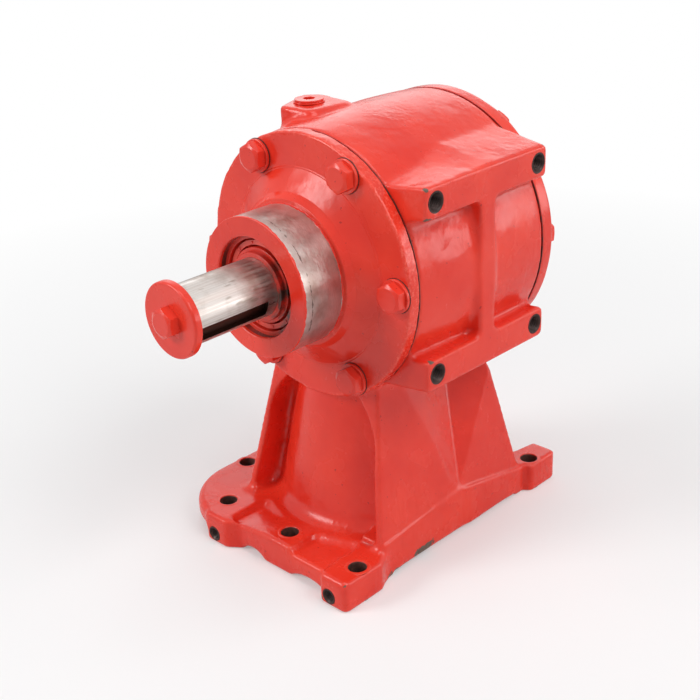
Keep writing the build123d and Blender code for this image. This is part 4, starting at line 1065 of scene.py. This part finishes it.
def make_small_parts():
    for node, width, body, slot, material in worn_nodes:
        worn_copy(node + "_worn", node, width * MM, body, material)


# Drilled and tapped holes

ring_steps = 64
hole_wall = 1.7 * MM
hole_wall_start = 0.2 * MM
hole_mouth_drop = 0.35 * MM
hole_mouth_rounding = 0.6 * MM
thread_steps = 48
thread_levels = 6
thread_share = 0.55
thread_wall = 1.5 * MM
thread_chamfer = 0.5 * MM
thread_lip = 0.6 * MM
thread_proud = 0.06 * MM
thread_end_gap = 3 * MM
side_tap_pitch = 1.75 * MM
lug_tap_pitch = 1.5 * MM


def tube_profile(inner, outer, start, end, rounding):
    """Closed profile of a tube, from radius and distance along the axis, its outer mouth rounded."""
    return [
        (inner, start),
        (inner, end - rounding),
        *arc((inner + rounding, end - rounding), rounding, 180, 90, 4)[1:],
        (outer, end),
        (outer, start),
    ]


def make_hole_walls():
    """Drilled walls, and the ridge of paint round each mouth."""
    up = (0, 0, 1)
    sleeve = foot_hole_radius + hole_wall
    mouth = foot_top - hole_mouth_drop
    groups = (
        ("foot_hole_walls", foot_places, 0),
        ("lobe_hole_walls", lobe_places, lobe_underside),
    )
    for name, places, start in groups:
        grounded = [(place.x, place.y, 0) for place in places]
        wall = tube_profile(foot_hole_radius, sleeve, start + hole_wall_start, mouth, hole_mouth_rounding)
        piece = turned_group(name, wall, grounded, up, ring_steps)
        finish_piece(piece, "housing", materials["drilled"])
    rim = [
        (foot_hole_radius + 0.15 * MM, foot_top - 1.0 * MM),
        *arc((foot_hole_radius + 0.75 * MM, foot_top - 0.4 * MM), 0.55 * MM, 180, 90, 4),
        (foot_hole_radius + 2.4 * MM, foot_top + 0.04 * MM),
        (foot_hole_radius + 3.2 * MM, foot_top - 0.35 * MM),
        (foot_hole_radius + 1.8 * MM, foot_top - 1.4 * MM),
    ]
    places = [(place.x, place.y, 0) for place in foot_places + lobe_places]
    piece = turned_group("foot_hole_rims", rim, places, up, ring_steps)
    push_out(piece, lambda points: cast_noise(points, 3 * MM, seed=5) * 0.12 * MM)
    finish_piece(piece, "housing", materials["paint"])


def thread_surface(radius, pitch, depth, place, direction, offset):
    """Internal thread: a tube whose inner wall winds, with a chamfered mouth and a closed end."""
    crest = radius - thread_share * pitch
    outer = radius + thread_wall
    turn = np.array(Vector((0, 0, 1)).rotation_difference(Vector(direction)).to_matrix())
    levels = np.arange(0, depth, pitch / thread_levels)
    mouth = radius + thread_chamfer - levels
    rows = []
    for i in range(thread_steps):
        angle = 2 * math.pi * i / thread_steps
        wave = np.abs(((levels / pitch + i / thread_steps) % 1.0) * 2 - 1)
        inner = np.maximum(crest + (radius - crest) * wave, mouth)
        ring = [
            (0, levels[-1] + 2 * MM),
            *reversed(list(zip(inner, levels))),
            (radius + thread_lip, -thread_proud),
            (outer, -thread_proud),
            (outer, depth),
            (0, depth + 2.5 * MM),
        ]
        rows.append([(r * math.cos(angle), r * math.sin(angle), -level) for r, level in ring])
    points = np.array(rows).reshape(-1, 3) @ turn.T + np.array(place)
    return points, ring_faces(thread_steps, len(rows[0]), offset)


def make_threads():
    groups = (
        ("side_tap_threads", side_tap_places, (1, 0, 0), side_tap_radius, side_tap_pitch),
        ("lug_tap_threads", lug_tap_places, (0, -1, 0), lug_tap_radius, lug_tap_pitch),
    )
    for name, places, direction, radius, pitch in groups:
        points, faces = [], []
        for place in places:
            more_points, more_faces = thread_surface(
                radius, pitch, tap_depth - thread_end_gap, place, direction, len(points)
            )
            points.extend(more_points)
            faces.extend(more_faces)
        piece = add_piece(name, points, faces, 50)
        finish_piece(piece, "housing", materials["thread"])


def make_washer_gap_shade():
    """Dark ring under each front washer: painted shade standing in for the shaded gap between washer and
    flange.
    """
    gap = [
        (washer_radius - 1.0 * MM, -0.1 * MM),
        (washer_radius + 0.45 * MM, -0.1 * MM),
        (washer_radius + 0.35 * MM, 0.35 * MM),
        (washer_radius - 1.0 * MM, 0.35 * MM),
    ]
    places = []
    for i in range(bolt_count):
        angle = 2 * math.pi * i / bolt_count
        height = axis_height + bolt_circle * math.sin(angle)
        places.append((bolt_circle * math.cos(angle), flange_face, height))
    piece = turned_group("washer_gaps", gap, places, (0, -1, 0), ring_steps)
    finish_piece(piece, "housing", materials["gap"])


# Studio

def make_floor():
    """Pale paper that keeps the shadow near the object and turns white further out."""
    half, white_reach = 12.0, 1.2
    corners = [(-half, -half, 0), (half, -half, 0), (half, half, 0), (-half, half, 0)]
    floor = add_piece("floor", corners, [(0, 1, 2, 3)])
    kit = Nodes("floor_paper")
    tone = kit.noise(3, 2)
    paper = kit.surface(kit.mix(tone, (0.86, 0.86, 0.86), (0.90, 0.90, 0.90)), 0.9)
    white = kit.new("ShaderNodeEmission")
    white.inputs["Strength"].default_value = 1.0
    length = kit.new("ShaderNodeVectorMath", operation="LENGTH")
    kit.put(length.inputs[0], kit.place)
    far = kit.ramp(kit.math("DIVIDE", length.outputs["Value"], white_reach), (0.2, 0.3), (0.75, 1.0))
    path = kit.new("ShaderNodeLightPath")
    mix = kit.new("ShaderNodeMixShader")
    kit.put(mix.inputs[0], kit.math("MULTIPLY", far, path.outputs["Is Camera Ray"]))
    kit.link(paper.outputs[0], mix.inputs[1])
    kit.link(white.outputs[0], mix.inputs[2])
    kit.link(mix.outputs[0], kit.output.inputs[0])
    floor.data.materials.append(kit.material)


def make_world():
    """White behind the object and in its reflections, and a softer fill light."""
    world = bpy.data.worlds.new("studio")
    bpy.context.scene.world = world
    world.use_nodes = True
    tree = world.node_tree
    tree.nodes.clear()
    path = tree.nodes.new("ShaderNodeLightPath")
    seen = tree.nodes.new("ShaderNodeMath")
    seen.operation = "MAXIMUM"
    tree.links.new(path.outputs["Is Camera Ray"], seen.inputs[0])
    mirrored = tree.nodes.new("ShaderNodeMath")
    mirrored.operation = "MAXIMUM"
    tree.links.new(path.outputs["Is Glossy Ray"], mirrored.inputs[0])
    tree.links.new(path.outputs["Is Transmission Ray"], mirrored.inputs[1])
    tree.links.new(mirrored.outputs[0], seen.inputs[1])
    fill = tree.nodes.new("ShaderNodeBackground")
    fill.inputs["Color"].default_value = fill_tint
    fill.inputs["Strength"].default_value = fill_light
    white = tree.nodes.new("ShaderNodeBackground")
    white.inputs["Color"].default_value = (1, 1, 1, 1)
    white.inputs["Strength"].default_value = 1.0
    mix = tree.nodes.new("ShaderNodeMixShader")
    tree.links.new(seen.outputs[0], mix.inputs[0])
    tree.links.new(fill.outputs[0], mix.inputs[1])
    tree.links.new(white.outputs[0], mix.inputs[2])
    output = tree.nodes.new("ShaderNodeOutputWorld")
    tree.links.new(mix.outputs[0], output.inputs[0])


def add_lamp(name, place, size, power):
    """White softbox that looks at the object's middle."""
    data = bpy.data.lights.new(name, "AREA")
    data.shape = "RECTANGLE"
    data.size, data.size_y = size
    data.energy = power
    lamp = bpy.data.objects.new(name, data)
    bpy.context.scene.collection.objects.link(lamp)
    lamp.location = place
    lamp.rotation_euler = (Vector(light_target) - Vector(place)).to_track_quat("-Z", "Y").to_euler()


def make_camera():
    """The photograph's view: place and direction fitted to the object's own edges."""
    azimuth, elevation, roll = (math.radians(a) for a in (45.019, 24.530, -2.551))
    distance, shift_right, aim_height = 944.257 * MM, -23.178 * MM, 139.367 * MM
    focal_pixels, frame_pixels = 1223.287, 700
    back = Vector(
        (
            math.sin(azimuth) * math.cos(elevation),
            -math.cos(azimuth) * math.cos(elevation),
            math.sin(elevation),
        )
    )
    right = Vector((math.cos(azimuth), math.sin(azimuth), 0))
    up = back.cross(right)
    place = right * shift_right + Vector((0, 0, aim_height)) + back * distance
    rolled_right = right * math.cos(roll) + up * math.sin(roll)
    rolled_up = up * math.cos(roll) - right * math.sin(roll)
    data = bpy.data.cameras.new("camera")
    data.sensor_width = 36
    data.lens = focal_pixels * data.sensor_width / frame_pixels
    data.clip_start, data.clip_end = 0.05, 50
    camera = bpy.data.objects.new("camera", data)
    bpy.context.scene.collection.objects.link(camera)
    turn = Matrix((rolled_right, rolled_up, back)).transposed().to_4x4()
    camera.matrix_world = Matrix.Translation(place) @ turn
    bpy.context.scene.camera = camera


# Main

dress_nodes()
make_housing()
make_covers()
make_small_parts()
make_hole_walls()
make_threads()
make_washer_gap_shade()
make_floor()
make_world()
make_camera()
add_lamp("key_softbox", (-1.1, -1.8, 1.3), (0.9, 0.9), 27)
add_lamp("side_softbox", (1.5, 0.1, 1.8), (1.2, 1.0), 21)
add_lamp("back_left_softbox", (-1.3, 1.5, 1.1), (1.7, 0.9), 4.5)
add_lamp("back_right_softbox", (1.6, 1.4, 0.45), (1.3, 0.6), 9)
add_lamp("top_softbox", (0.1, -0.1, 2.1), (1.0, 1.0), 11.5)
bpy.context.scene.view_settings.view_transform = "Standard"
